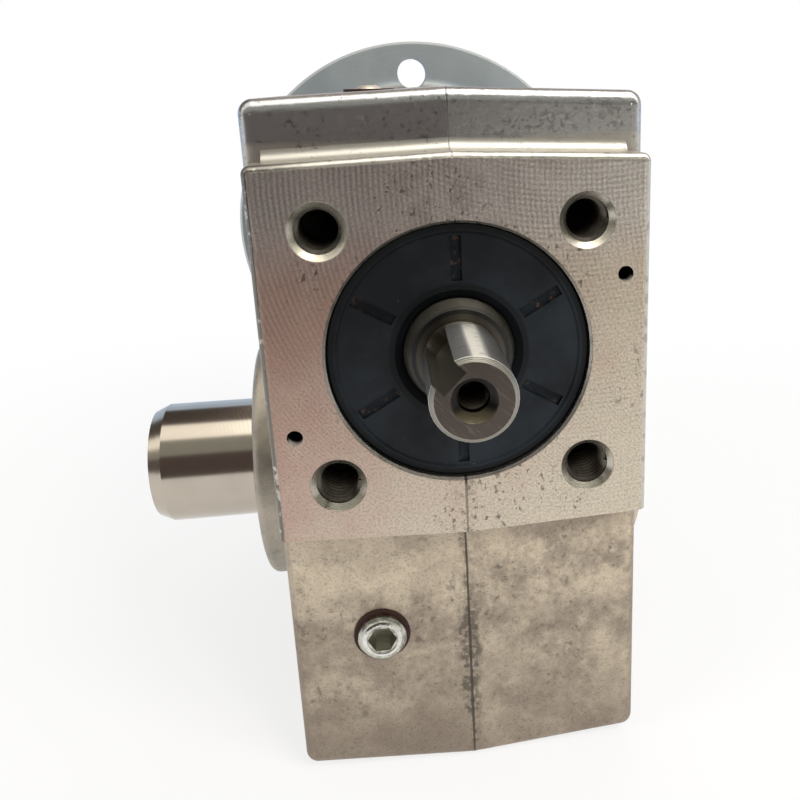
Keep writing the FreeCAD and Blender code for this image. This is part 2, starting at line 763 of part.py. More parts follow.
def shaft_seal(spindle, shaft_radius, bore_radius, outer, inner):
    """Rubber-covered shaft seal. Outer is the station of its air side, inner of its oil side."""
    into = 1 if inner > outer else -1
    lip = shaft_radius + lip_gap

    def at(depth):
        return outer + into * depth

    return spindle.turned([
        (bore_radius, at(0.4)), (bore_radius - 0.4, at(0)), (bore_radius - 1.6, at(0)),
        (bore_radius - 2.0, at(0.4)), (lip + 1.5, at(0.4)), (lip + 0.1, at(1.4)), (lip + 0.9, at(2.4)),
        (lip + 1.1, at(3.2)), (lip, at(4.6)), (lip + 1.6, at(6.4)), (lip + 2.6, at(6.0)),
        (lip + 2.2, at(2.8)), (bore_radius - 1.6, at(2.4)), (bore_radius - 1.6, at(seal_width)),
        (bore_radius - 0.4, at(seal_width)), (bore_radius, at(seal_width - 0.4))])


def front_seal():
    """Input seal; six narrow slots cross its face."""
    seal = shaft_seal(worm_line, collar_radius, front_bearing[1], front_seal_face,
                      front_seal_face + seal_width)
    slot = box(V(-seal_slot_width / 2, front_seal_face - 1, centre_distance + seal_slot_inner),
               V(seal_slot_width / 2, front_seal_face + seal_slot_depth, centre_distance + seal_slot_outer))
    return seal.cut(worm_line.spaced(slot, seal_slots))


def circlip(radius, start):
    """Retaining ring in a bore's groove, open at the bottom between two drilled ears."""
    outer = radius + circlip_bite - 0.1
    inner = radius - circlip_band + circlip_bite
    clip = worm_line.tube(inner, outer, start, start + circlip_width)
    gap = box(V(-circlip_gap / 2, start - 1, 0),
              V(circlip_gap / 2, start + circlip_width + 1, centre_distance))
    ears = []
    holes = []
    for side in (-1, 1):
        middle = V(side * (circlip_gap / 2 + 2.2), start, centre_distance - inner + 0.6)
        ears.append(Part.makeCylinder(2.4, circlip_width, middle, V(0, 1, 0)))
        holes.append(Part.makeCylinder(1.0, circlip_width + 2, middle - V(0, 1, 0), V(0, 1, 0)))
    whole = clip.fuse(ears).common(worm_line.rod(outer, start, start + circlip_width))
    return whole.cut([gap] + holes)


def oil_plug(line, surface, stand):
    """Headless socket plug that stands a little proud of its hole."""
    top = surface - stand
    end = top + plug_length
    body = line.turned([(0, top), (plug_radius - plug_chamfer, top), (plug_radius, top + plug_chamfer),
                        (plug_radius, end - plug_chamfer), (plug_radius - plug_chamfer, end), (0, end)])
    socket = hexagon_prism(plug_socket_across, plug_socket_depth, line.at(0, top), line.along)
    return body.cut(socket)


def domed_plug(line, surface, stand):
    """Socket plug with a low dome that stands just proud of its sealing ring."""
    top = surface - stand
    peak = top - dome_height
    end = top + plug_length
    curve = (dome_radius ** 2 + dome_height ** 2) / (2 * dome_height)
    rise = arc_middle((0, peak + curve), (0, peak), (dome_radius, top))
    body = line.turned([(0, peak), (rise, (dome_radius, top)), (plug_radius, top),
                        (plug_radius, end - plug_chamfer), (plug_radius - plug_chamfer, end), (0, end)])
    return body.cut(hexagon_prism(dome_socket_across, dome_socket_depth, line.at(0, peak), line.along))


def plug_ring(line, surface):
    return line.tube(plug_radius, plug_ring_radius, surface - plug_ring_stand, surface + plug_ring_depth)


def all_pieces():
    pieces = {
        "housing": housing(),
        "side_cover": side_cover(),
        "side_cover_ring": cover_ring(),
        "side_cover_screws": cover_screws(),
        "motor_bell": motor_bell(),
        "motor_bell_gasket": rear_gasket(),
        "motor_bell_screws": bell_screws(),
        "worm_shaft": worm_shaft(),
        "worm_wheel_rim": wheel_rim(),
        "wheel_rim_screws": rim_screw_set(),
        "output_shaft": output_shaft(),
        "front_seal": front_seal(),
        "rear_seal": shaft_seal(worm_line, rear_seat_radius, rear_bearing[1],
                                rear_seal_start + seal_width, rear_seal_start),
        "front_circlip": circlip(front_bearing[1], front_bearing_start - circlip_groove),
        "rear_circlip": circlip(rear_bearing[1], rear_bearing_start + rear_bearing[2]),
        "front_oil_plug": oil_plug(front_plug_line, front_plug_surface, front_plug_stand),
        "front_plug_ring": plug_ring(front_plug_line, front_plug_surface),
        "top_oil_plug": domed_plug(top_plug_line, top_plug_surface, top_plug_stand),
        "top_plug_ring": plug_ring(top_plug_line, top_plug_surface)}
    for side, name in ((-1, "left"), (1, "right")):
        outer = side * output_seal_outer
        pieces[name + "_seal"] = shaft_seal(wheel_line, output_seat_radius, output_bearing[1], outer,
                                            outer - side * seal_width)
    bearings = {
        "front_bearing": (worm_line, front_bearing, front_bearing_start),
        "rear_bearing": (worm_line, rear_bearing, rear_bearing_start),
        "left_bearing": (wheel_line, output_bearing, -output_bearing_inner - output_bearing[2]),
        "right_bearing": (wheel_line, output_bearing, output_bearing_inner)}
    for name, (spindle, sizes, start) in bearings.items():
        for part, shape in bearing(spindle, sizes, start).items():
            pieces[name + "_" + part] = shape
    return pieces


def main():
    os.makedirs("parts", exist_ok=True)
    for name, shape in all_pieces().items():
        shape.exportStep("parts/" + name + ".step")


main()
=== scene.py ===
import math

import bpy
from mathutils import Matrix, Vector


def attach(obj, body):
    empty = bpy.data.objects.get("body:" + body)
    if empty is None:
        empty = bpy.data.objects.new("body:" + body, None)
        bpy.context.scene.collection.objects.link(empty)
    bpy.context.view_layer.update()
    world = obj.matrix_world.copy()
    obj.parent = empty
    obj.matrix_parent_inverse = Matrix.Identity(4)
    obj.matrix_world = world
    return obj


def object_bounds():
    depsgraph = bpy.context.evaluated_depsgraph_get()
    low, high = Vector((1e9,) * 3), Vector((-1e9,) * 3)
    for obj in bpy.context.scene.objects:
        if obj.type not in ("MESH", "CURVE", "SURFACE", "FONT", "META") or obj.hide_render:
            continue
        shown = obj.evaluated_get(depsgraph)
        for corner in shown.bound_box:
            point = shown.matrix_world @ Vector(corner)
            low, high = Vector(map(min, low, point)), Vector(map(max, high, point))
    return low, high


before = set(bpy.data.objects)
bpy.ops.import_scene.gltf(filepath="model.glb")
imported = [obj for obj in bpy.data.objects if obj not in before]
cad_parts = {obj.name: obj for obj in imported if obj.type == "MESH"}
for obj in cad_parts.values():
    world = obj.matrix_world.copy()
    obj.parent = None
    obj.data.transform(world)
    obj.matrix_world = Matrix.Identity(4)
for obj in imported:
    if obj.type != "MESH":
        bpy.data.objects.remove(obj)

bl_info = {
    "name": "Worm Gear Reducer",
    "version": (1, 0, 0),
    "blender": (4, 5, 0),
    "location": "3D View > Sidebar > Reducer",
    "description": "Finishes a worm gear reducer: cast case, ground shafts, seals, threads and oil plugs",
    "category": "Object",
}

cad_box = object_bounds()

# Places on the reducer that the finishes and the small pieces go by, in metres
worm_height = 0.040
pad_face = -0.0587
bolt_offset = 0.02298
plug_place = (-0.01755, -0.0196)
plug_face = -0.0532
pin_offset = 0.02985
right_pin_height = 0.0532
left_pin_height = 0.0268
bell_screw_offset = 0.035
bell_screw_seat = 0.0690
knurl_gap = 0.0004
bolt_thread_root = 0.00404
bolt_thread_depth = 0.0020
end_thread_root = 0.00253
end_thread_start = -0.0790
floor_gap = 0.0002


def colour(name, description, default):
    """A colour that the user may change."""
    return bpy.props.FloatVectorProperty(name=name, description=description, subtype="COLOR", size=3,
                                         min=0.0, max=1.0, default=default)


def length(name, description, default):
    """A length in metres that the user may change."""
    return bpy.props.FloatProperty(name=name, description=description, subtype="DISTANCE", unit="LENGTH",
                                   min=0.0, default=default, precision=5)


class CaseSettings(bpy.types.PropertyGroup):
    """Colours and marks of the cast housing and its side cover."""

    # The pad's two milled tones are swept from its upper left to its lower right, partly as a real oil film
    # and partly as painted shade
    milled_light: colour("Milled face, clean", "Clean aluminium of the milled front pad", (0.74, 0.66, 0.535))
    milled_oily_shaded: colour("Milled face, oily", "Aluminium of the front pad under a film of old oil",
                        (0.58, 0.375, 0.312))
    skin_light: colour("Cast skin, light", "Palest patches of the cast skin", (0.73, 0.63, 0.485))
    skin_dark: colour("Cast skin, dark", "Darker patches of the cast skin", (0.34, 0.278, 0.222))
    stain: colour("Stain", "Oil and dirt in pits and beside the parting line", (0.085, 0.075, 0.062))
    block_grey: colour("Upper block", "Smooth die-cast front of the upper block", (0.47, 0.475, 0.475))
    tapped: colour("Tapped holes", "Oily threads in the holes of the front pad", (0.20, 0.18, 0.155))
    milling_pitch: length("Milling pitch", "Distance between the marks of the milling cutter", 0.00090)
    parting_width: length("Parting line", "Width of the dark line where the die halves met", 0.00045)


class BellSettings(bpy.types.PropertyGroup):
    """Colours of the motor bell and its gasket."""

    flange_grey: colour("Flange", "Turned face of the motor flange", (0.30, 0.335, 0.35))
    neck_grey: colour("Neck", "Cast neck and base of the bell", (0.30, 0.315, 0.32))
    gasket: colour("Gasket", "Pressed fibre of the gasket", (0.16, 0.135, 0.095))


class SteelSettings(bpy.types.PropertyGroup):
    """Colours of the shafts, bearings and small steel pieces."""

    ground: colour("Ground steel", "Ground shaft steel", (0.56, 0.52, 0.465))
    oiled: colour("Oiled steel", "Steel in corners where old oil stays", (0.20, 0.165, 0.125))
    bearing: colour("Bearing steel", "Hardened and polished rings and balls", (0.62, 0.61, 0.59))
    cage: colour("Ball cage", "Pressed steel of the ball cages", (0.36, 0.35, 0.33))
    blued: colour("Blackened steel", "Screws and retaining rings with a black finish", (0.045, 0.045, 0.047))
    plated: colour("Plated steel", "Plated top oil plug", (0.92, 0.86, 0.76))
    bead: colour("Plug bead", "Bright bead round the socket of the front oil plug", (0.86, 0.85, 0.79))
    end_thread: colour("Shaft end thread", "Oily thread in the end of the input shaft", (0.16, 0.135, 0.105))
    bronze: colour("Bronze", "Tin bronze of the wheel rim", (0.58, 0.335, 0.125))


class RubberSettings(bpy.types.PropertyGroup):
    """Colours of the seals and sealing rings."""

    seal: colour("Seal", "Black nitrile rubber of the shaft seals", (0.0078, 0.0104, 0.0136))
    dirt: colour("Dirt", "Rusty dirt that has settled in the slots of the front seal", (0.105, 0.058, 0.034))
    plug_ring: colour("Plug ring", "Brown fibre of the rings under the oil plugs", (0.027, 0.0105, 0.0080))


class ThreadSettings(bpy.types.PropertyGroup):
    """Sizes of the threads that are cut into the case and the shaft end."""

    bolt_pitch: length("Bolt thread pitch", "Pitch in the four holes of the front pad", 0.00125)
    bolt_crest: length("Bolt thread crest", "Radius at the crest of the thread in the front holes", 0.00340)
    bolt_turns: bpy.props.IntProperty(name="Bolt thread turns", min=1, default=10,
                                      description="Turns of thread in each front hole")
    end_pitch: length("Shaft end pitch", "Pitch in the centre hole of the input shaft", 0.0008)
    end_crest: length("Shaft end crest", "Radius at the crest of the thread in the centre hole", 0.00212)
    end_turns: bpy.props.IntProperty(name="Shaft end turns", description="Turns of thread in the centre hole",
                                     min=1, default=11)


class DetailSettings(bpy.types.PropertyGroup):
    """Sizes of the plug's bead and of the knurled screw heads."""

    bead_radius: length("Plug bead radius", "Radius of the rounded bead round the plug's socket", 0.00345)
    bead_width: length("Plug bead width", "Half the width of the bead", 0.00048)
    bead_height: length("Plug bead height", "Height of the bead over the plug's face", 0.00028)
    head_radius: length("Screw head radius", "Radius under the knurl of the bell's screw heads", 0.00645)
    head_length: length("Screw head length", "Length of the knurled part of the screw heads", 0.0064)
    knurl_depth: length("Knurl depth", "Height of the ridges on the screw heads", 0.00028)
    knurl_ridges: bpy.props.IntProperty(name="Knurl ridges", description="Ridges round each screw head",
                                        min=12, default=36)


class StageSettings(bpy.types.PropertyGroup):
    """Floor, light tent and camera."""

    floor: colour("Floor", "Plain pale floor", (0.86, 0.85, 0.83))
    tent_front: colour("Tent, front", "Dark lower front of the light tent", (0.072, 0.058, 0.053))
    tent_right: colour("Tent, right", "Bright right part of the tent's lower front", (0.52, 0.50, 0.45))
    tent_upper: colour("Tent, upper front", "Grey upper front of the light tent", (0.235, 0.235, 0.21))
    tent_lamp: colour("Tent, lamp", "Strip of light along the tent's top", (1.0, 0.97, 0.90))
    tent_top: colour("Tent, top", "Dark top of the tent behind the strip of light", (0.056, 0.047, 0.041))
    tent_back: colour("Tent, back", "Bluish back of the light tent", (0.39, 0.47, 0.59))
    lens: bpy.props.FloatProperty(name="Lens", description="Focal length of the camera",
                                  subtype="DISTANCE_CAMERA", min=1.0, default=39.68)


class Wire:
    """A node's output that takes part in Python arithmetic, adding Math nodes as it goes."""

    def __init__(self, paint, socket):
        self.paint = paint
        self.socket = socket

    def other(self, output):
        """Another output of the same node."""
        return Wire(self.paint, self.socket.node.outputs[output])

    def math(self, operation, first, second=0.0):
        """A Math node on two values."""
        return self.paint.add("ShaderNodeMath", {"operation": operation}, {0: first, 1: second})

    def __add__(self, value):
        return self.math("ADD", self, value)

    def __radd__(self, value):
        return self.math("ADD", value, self)

    def __sub__(self, value):
        return self.math("SUBTRACT", self, value)

    def __rsub__(self, value):
        return self.math("SUBTRACT", value, self)

    def __mul__(self, value):
        return self.math("MULTIPLY", self, value)

    def __rmul__(self, value):
        return self.math("MULTIPLY", value, self)

    def __pow__(self, value):
        return self.math("POWER", self, value)

    def __abs__(self):
        return self.math("ABSOLUTE", self)

    def most(self, value):
        """The larger of the two."""
        return self.math("MAXIMUM", self, value)

    def least(self, value):
        """The smaller of the two."""
        return self.math("MINIMUM", self, value)

    def wave(self):
        """A wave from none to all along an angle."""
        return self.math("SINE", self) * 0.5 + 0.5


class Paint:
    """A node tree in the making, with the few kinds of node that the finishes share."""

    def __init__(self, tree):
        self.tree = tree
        tree.nodes.clear()

    def add(self, kind, settings=None, sockets=None, out=0):
        """Adds a node: its settings first, then the values or links of its sockets."""
        node = self.tree.nodes.new(kind)
        for name, value in (settings or {}).items():
            setattr(node, name, value)
        for name, value in (sockets or {}).items():
            if isinstance(value, Wire):
                self.tree.links.new(value.socket, node.inputs[name])
            else:
                node.inputs[name].default_value = value
        return Wire(self, node.outputs[out]) if node.outputs else None

    def step(self, value, start, end):
        """None up to start, all from end on, and smooth between them."""
        return self.add("ShaderNodeMapRange", {"interpolation_type": "SMOOTHSTEP"},
                        {0: value, 1: start, 2: end, 3: 0.0, 4: 1.0})

    def mix(self, factor, first, second):
        """Two colours mixed."""
        def tone(c):
            return c if isinstance(c, Wire) else (*c[:3], 1.0)
        return self.add("ShaderNodeMix", {"data_type": "RGBA"},
                        {0: factor, 6: tone(first), 7: tone(second)}, out=2)

    def noise(self, place, scale, detail, rough, bend=0.0):
        """Cloudy noise whose patches are about 1/scale metres across."""
        return self.add("ShaderNodeTexNoise", {}, {"Vector": place, "Scale": scale, "Detail": detail,
                                                   "Roughness": rough, "Distortion": bend})

    def rings(self, place, pitch, direction, bend, kind="RINGS"):
        """Tool marks a pitch apart, as rings round an axis or bands along it."""
        settings = {"wave_type": kind, "rings_direction" if kind == "RINGS" else "bands_direction": direction,
                    "wave_profile": "SIN"}
        return self.add("ShaderNodeTexWave", settings,
                        {"Vector": place, "Scale": math.pi / 10 / pitch, "Distortion": bend, "Detail": 2.0,
                         "Detail Scale": 1.5, "Detail Roughness": 0.6}, out=1)

    def moved(self, place, shift=(0, 0, 0), scale=(1, 1, 1)):
        """The place, stretched and moved for a pattern."""
        return self.add("ShaderNodeMapping", {}, {"Vector": place, "Location": shift, "Scale": scale})

    def strokes(self, place, turn, long, fine):
        """Straight strokes in the XZ plane, turned about Y, with so many lengths and widths to the metre."""
        turned = self.add("ShaderNodeMapping", {}, {"Vector": place, "Rotation": (0, turn, 0)})
        return self.noise(self.moved(turned, scale=(long, 500, fine)), 1.0, 3.0, 0.6, 0.4)

    def bump(self, height, depth, before=None):
        """Relief of that depth in metres."""
        sockets = {"Height": height, "Distance": depth, "Strength": 1.0}
        if before:
            sockets["Normal"] = before
        return self.add("ShaderNodeBump", {}, sockets)


class Finish(Paint):
    """A material in the making, with the surface's own place in metres."""

    def __init__(self, name):
        self.material = bpy.data.materials.new(name)
        self.material.use_nodes = True
        super().__init__(self.material.node_tree)
        self.place = self.add("ShaderNodeTexCoord", out="Object")
        self.x = self.add("ShaderNodeSeparateXYZ", {}, {0: self.place}, out="X")
        self.y, self.z = self.x.other("Y"), self.x.other("Z")

    def done(self, **sockets):
        """Ends the material with its shader."""
        named = {}
        for name, value in sockets.items():
            named[name.replace("_", " ").title().replace("Ior", "IOR")] = value
        shader = self.add("ShaderNodeBsdfPrincipled", {}, named, out="BSDF")
        self.add("ShaderNodeOutputMaterial", {}, {"Surface": shader})
        return self.material


def far(first, second):
    """Distance from an axis, of two coordinates across it."""
    return (first * first + second * second) ** 0.5


def scaled(tone, amount):
    """A tone made darker or lighter."""
    return tuple(amount * c for c in tone)


def dress(material, *nodes):
    """Gives CAD nodes a material."""
    for node in nodes:
        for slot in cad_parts[node].material_slots:
            slot.material = material


def cast_skin(finish, tones):
    """Colour, roughness, relief and patterns of die-cast aluminium, mottled by handling and oil."""
    clouds = finish.noise(finish.place, 38.0, 3.0, 0.55)
    mottle = finish.noise(finish.place, 150.0, 4.0, 0.58)
    specks = finish.noise(finish.place, 430.0, 3.0, 0.55)
    fine = finish.noise(finish.place, 620.0, 4.0, 0.6)
    grain = finish.noise(finish.place, 2100.0, 2.0, 0.5)
    tone = finish.step(clouds * 0.40 + mottle * 0.55 + fine * 0.35 + grain * 0.10, 0.52, 0.88)
    colour_now = finish.mix(tone, tones.skin_dark, tones.skin_light)
    dirt = finish.step(specks, 0.60, 0.70) * finish.step(clouds, 0.56, 0.42)
    colour_now = finish.mix(dirt * 0.6, colour_now, tones.stain)
    rough = 0.40 + 0.22 * mottle
    relief = mottle * 0.4 + fine * 0.3 + grain * 0.3
    return colour_now, rough, relief, (clouds, mottle, specks, grain)


class CaseFinish(Finish):
    """The housing's finish in the making, with the regions that its steps share."""

    def __init__(self, tones):
        super().__init__("cast_and_milled_case")
        self.tones = tones
        self.skin, self.cast_rough, self.cast_relief, patterns = cast_skin(self, tones)
        self.clouds, self.mottle, self.specks, self.grain = patterns
        self.spots = self.noise(self.place, 900.0, 3.0, 0.6)
        self.across = abs(self.x)
        self.above = self.z - worm_height
        self.axis = far(self.x, self.above)
        self.front = self.step(self.y, -0.0460, -0.0490)
        self.pad = self.step(self.y, pad_face + 0.00012, pad_face + 0.00003)
        self.off_pad = 1.0 - self.pad
        self.upper = self.step(self.z, 0.0730, 0.0745) * self.front * self.off_pad

    def lay(self, factor, tone):
        """Lays a tone over what is there so far."""
        self.skin = self.mix(factor, self.skin, tone)

    def upper_block(self):
        """Smooth grey front of the upper block, scratched all over, pitted at its right, and with a painted
        highlight along its foot.
        """
        bright_scratch = (0.86, 0.83, 0.77)
        ledge_highlight = (0.62, 0.57, 0.49)
        step, mix = self.step, self.mix
        scratch = self.strokes(self.place, 0.5, 300, 2600)
        for turn, long, fine in ((-0.9, 260, 2400), (1.4, 340, 2800), (-0.2, 420, 2500)):
            scratch = scratch.most(self.strokes(self.place, turn, long, fine))
        grey = mix(step(scratch, 0.60, 0.74) * 0.3, self.tones.block_grey, bright_scratch)
        pitted = step(self.spots, 0.48, 0.60) * step(self.mottle, 0.46, 0.60)
        pitted = pitted * step(self.x, 0.002, 0.010) * step(self.z, 0.0835, 0.0815)
        grey = mix(pitted * 0.42, grey, self.tones.stain)
        # Painted highlight: a cream band along the concave fillet at the foot of the block's front
        self.ledge = step(self.z, 0.0776, 0.0764) * self.upper
        grey = mix(self.ledge * 0.6, grey, ledge_highlight)
        self.lay(self.upper, grey)

    def lower_case(self):
        """Pits of the cast skin, a painted shadow just under the pad, the lower case with its pale top and
        dark foot, and the calmer sides.
        """
        side_dark = (0.36, 0.345, 0.305)
        side_light = (0.47, 0.44, 0.385)
        foot = scaled(self.tones.skin_dark, 0.72)
        z, step = self.z, self.step
        self.lay(step(self.spots, 0.58, 0.68) * step(self.mottle, 0.60, 0.42) * 0.55, self.tones.stain)
        low = step(z, 0.0050, 0.0030)
        uneven = 0.6 + 0.8 * step(self.noise(self.place, 62.0, 4.0, 0.6), 0.42, 0.58)
        at_left = step(self.x, 0.004, -0.004)
        # Painted shadow: a darker band just under the pad
        self.lay(low * step(z, -0.003, 0.003) * 0.5, self.tones.skin_dark)
        self.lay(low * step(z, -0.014, -0.008) * at_left * uneven * 0.38, self.tones.skin_light)
        self.lay(low * step(z, -0.010, -0.022) * uneven * 0.36, foot)
        self.lay(low * step(z, -0.030, -0.046) * (0.46 + 0.28 * at_left), foot)
        self.lay(low * step(self.grain, 0.52, 0.66) * 0.30, self.tones.stain)
        self.lay(low * self.front * step(self.across, 0.0334, 0.0346) * 0.45, foot)
        side = step(self.across, 0.0350, 0.0358).most(1.0 - self.front)
        self.lay(side * 0.65, self.mix(step(self.clouds, 0.40, 0.62), side_dark, side_light))

    def pad_border(self):
        """Rounded border of the pad, polished by handling, and darker at its left with painted shade and pale
        chips.
        """
        polished = (0.56, 0.53, 0.48)
        shaded_border = (0.185, 0.17, 0.15)
        chipped = (0.70, 0.67, 0.61)
        step, mix = self.step, self.mix
        self.border = step(self.y, pad_face + 0.0022, pad_face + 0.0014) * self.off_pad
        worn = mix(step(self.specks, 0.52, 0.64) * 0.35, polished, self.tones.stain)
        # Painted shade: the border is dark at its left, flecked with pale chips
        shaded_left_with_chips = mix(step(self.specks, 0.56, 0.66) * 0.6, shaded_border, chipped)
        self.lay(self.border, mix(step(self.x, -0.020, -0.034), worn, shaded_left_with_chips))

    def cutter_marks(self):
        """Depth of the milling cut, and the cutter's arcs, crossed by a second set at the right."""
        reach_squared = 0.0046
        x, z, step = self.x, self.z, self.step
        turns = 2 * math.pi / self.tones.milling_pitch
        wander = self.noise(self.place, 150.0, 3.0, 0.55) * 2.4

        def bent(along, aside):
            """A place along a cut, bent to the cutter's arc."""
            return along + (reach_squared - aside * aside).most(0.0) ** 0.5
        arcs = (bent(x, z - 0.070) * turns + wander).wave()
        crossing = (bent(z, x - 0.022) * (turns * 0.97) + wander).wave()
        right = step(x, -0.022, 0.008)
        patchy = self.noise(self.place, 120.0, 4.0, 0.65)
        cut = (0.35 + 0.65 * step(z, 0.034, 0.056)).most(right * (0.62 + 0.2 * step(z, 0.036, 0.060)))
        cut = cut * (0.5 + 0.5 * step(patchy, 0.36, 0.60))
        return cut, (arcs * (1.0 - 0.45 * right) + crossing * right * 0.5) * cut

    def milled_pad(self):
        """Milled front pad: oily and darkened by painted shade towards its upper left, grey at its top, dirty
        above the bore, pitted at its right.
        """
        grey_oily_shaded = (0.73, 0.725, 0.71)
        grey_clean = (0.87, 0.86, 0.83)
        old_dirt = (0.19, 0.145, 0.12)
        x, z, step, mix, tones = self.x, self.z, self.step, self.mix, self.tones
        cut, self.marks = self.cutter_marks()
        self.fleck = self.noise(self.place, 2300.0, 3.0, 0.6)
        self.wear = self.noise(self.place, 75.0, 5.0, 0.6)
        # A real oil film at the left, with painted shade darkening the pad towards its upper left
        oil_and_shade_sweep = step(x * 11.0 - self.above * 8.5 + self.wear * 0.65 + self.mottle * 0.25, -0.02, 0.92)
        milled = mix(oil_and_shade_sweep, tones.milled_oily_shaded, tones.milled_light)
        milled = mix(step(z, 0.051, 0.067) * 0.75, milled, mix(oil_and_shade_sweep, grey_oily_shaded, grey_clean))
        milled = mix((cut - self.marks) * (0.30 + 0.14 * step(z, 0.054, 0.066)), milled, tones.stain)
        milled = mix(step(self.fleck, 0.60, 0.30) * 0.62, milled, tones.skin_dark)
        dirty = step(far(x + 0.002, (z - 0.066) * 1.5), 0.016, 0.006)
        milled = mix(dirty * step(self.mottle, 0.46, 0.60) * 0.35, milled, old_dirt)
        nicks = self.noise(self.moved(self.place, scale=(1, 1, 0.8)), 950.0, 3.0, 0.6)
        chance = self.noise(self.place, 58.0, 3.0, 0.5) + x * 2.0 + dirty * 0.2
        chance = chance + step(self.axis, 0.0262, 0.0240) * 0.10
        self.pits = step(nicks, 0.585, 0.665) * step(chance, 0.50, 0.64)
        self.lay(self.pad, mix(self.pits * 0.68, milled, tones.stain))

    def holes(self):
        """Pin holes darkened with painted shade and with a painted highlight on their lower walls, unstained
        countersinks over bolt holes darkened with painted shade, and painted shade in the seal's bore.
        """
        pin_shade = (0.03, 0.028, 0.026)
        pin_wall_highlight = (0.50, 0.48, 0.43)
        sink_dull = (0.46, 0.435, 0.355)
        sink_clean = (0.56, 0.53, 0.44)
        bolt_hole_shade = (0.035, 0.033, 0.030)
        x, y, z, step = self.x, self.y, self.z, self.step
        pin = far(x - pin_offset, z - right_pin_height).least(far(x + pin_offset, z - left_pin_height))
        pinned = step(pin, 0.00150, 0.00143) * self.off_pad
        # Painted shade: the pin holes are near black inside
        self.lay(pinned, pin_shade)
        right_lower = step(x, 0.0, 0.001) * step(z, right_pin_height - 0.0002, right_pin_height - 0.0010)
        left_lower = step(x, 0.0, -0.001) * step(z, left_pin_height - 0.0002, left_pin_height - 0.0010)
        # Painted highlight: a pale crescent on the lower wall of each pin hole
        self.lit_crescent = pinned * (right_lower + left_lower) * step(y, -0.0560, -0.0576)
        self.lay(self.lit_crescent * 0.9, pin_wall_highlight)
        bolt = far(self.across - bolt_offset, abs(self.above) - bolt_offset)
        sink = step(bolt, 0.0056, 0.0052) * step(y, -0.0560, -0.0572) * self.off_pad
        self.lay(sink * 0.8, self.mix(step(self.clouds, 0.40, 0.62), sink_dull, sink_clean))
        # Painted shade: the bolt holes are near black inside their mouths
        self.lay(step(bolt, 0.0050, 0.0043) * step(y, -0.0577, -0.0560), bolt_hole_shade)
        # Painted shade on the wall of the seal's bore, in the stain colour
        self.lay(step(self.axis, 0.0240, 0.0236) * step(y, -0.0583, -0.0570) * 0.75, self.tones.stain)

    def parting_line(self):
        """Dark line where the die halves met, on the pad only from the bore to its lower edge."""
        z, step, stain = self.z, self.step, self.tones.stain
        half = self.tones.parting_width / 2
        ragged = self.noise(self.moved(self.place, scale=(1, 1, 0.35)), 260.0, 3.0, 0.6) - 0.5
        narrowing = 1.0 + 1.5 * step(z, 0.030, 0.045)
        self.line = step((self.across + ragged * 0.0004) * narrowing, half * 1.3, half * 0.6)
        beside = step(self.across + ragged * 0.008, 0.0024, 0.0004)
        beside = beside * step(self.mottle * 0.5 + self.spots * 0.5, 0.44, 0.56)
        on_pad = step(self.axis, 0.0255, 0.0240) + step(z, 0.0176, 0.0150)
        shown = self.off_pad + self.pad * on_pad * 0.65
        self.lay(beside * 0.75 * shown * step(z, 0.030, 0.006), stain)
        self.lay(self.line * (0.9 - 0.4 * self.upper) * shown, stain)

    def boss_faces(self):
        """Turned faces of the bosses."""
        turned_light = (0.56, 0.52, 0.46)
        turned_dark = (0.42, 0.39, 0.35)
        self.boss = self.step(self.across, 0.0430, 0.0432) * self.step(far(self.y, self.z), 0.0285, 0.0283)
        turned = self.rings(self.place, 0.0005, "X", 0.4)
        self.lay(self.boss, self.mix(turned * 0.3, turned_light, turned_dark))

    def finished(self):
        """Ends the finish, smoother on the block, the bosses and the border than on the cast skin."""
        pad, off_pad = self.pad, self.off_pad
        smooth = self.upper.most(self.boss).most(self.border)
        metal = (0.85 + 0.10 * pad.most(smooth)) * (1.0 - 0.95 * self.lit_crescent)
        rough = self.cast_rough * off_pad * (1.0 - 0.5 * smooth * (1.0 - 0.5 * self.ledge))
        rough = rough + pad * (0.30 + 0.14 * self.wear)
        low_relief = self.bump(self.cast_relief * off_pad * (1.0 - 0.7 * smooth), 0.00016)
        line_relief = self.bump(1.0 - self.line * off_pad, 0.00020, low_relief)
        normal = self.bump(pad * (self.marks * 0.8 + self.fleck * 1.5 - self.pits), 0.000026, line_relief)
        return self.done(base_color=self.skin, roughness=rough, metallic=metal, normal=normal)


def case_finish(tones):
    """The housing: milled front pad, mottled cast skin, dark parting line and turned boss faces."""
    case = CaseFinish(tones)
    case.upper_block()
    case.lower_case()
    case.pad_border()
    case.milled_pad()
    case.holes()
    case.parting_line()
    case.boss_faces()
    return case.finished()


def cover_finish(tones):
    """The side cover: cast skin with a turned flange and a turned boss face."""
    turned_light = (0.52, 0.48, 0.42)
    turned_dark = (0.36, 0.33, 0.29)
    calm_skin = (0.43, 0.405, 0.355)
    finish = Finish("cast_side_cover")
    skin, rough, relief = cast_skin(finish, tones)[:3]
    axis = far(finish.y, finish.z)
    turned = finish.rings(finish.place, 0.0006, "X", 0.5)
    face = finish.step(finish.x, 0.0430, 0.0432)
    flange = finish.step(axis, 0.0290, 0.0300) * finish.step(finish.x, 0.0355, 0.0359)
    cut = face.most(flange)
    bright = finish.mix(turned * 0.35, turned_light, turned_dark)
    skin = finish.mix(0.5, skin, calm_skin)
    skin = finish.mix(cut * 0.85, skin, bright)
    normal = finish.bump(relief * (1.0 - cut) + turned * cut * 0.25, 0.00010)
    return finish.done(base_color=skin, roughness=rough * (1.0 - cut * 0.35),
                       metallic=0.5 + 0.35 * cut, normal=normal)


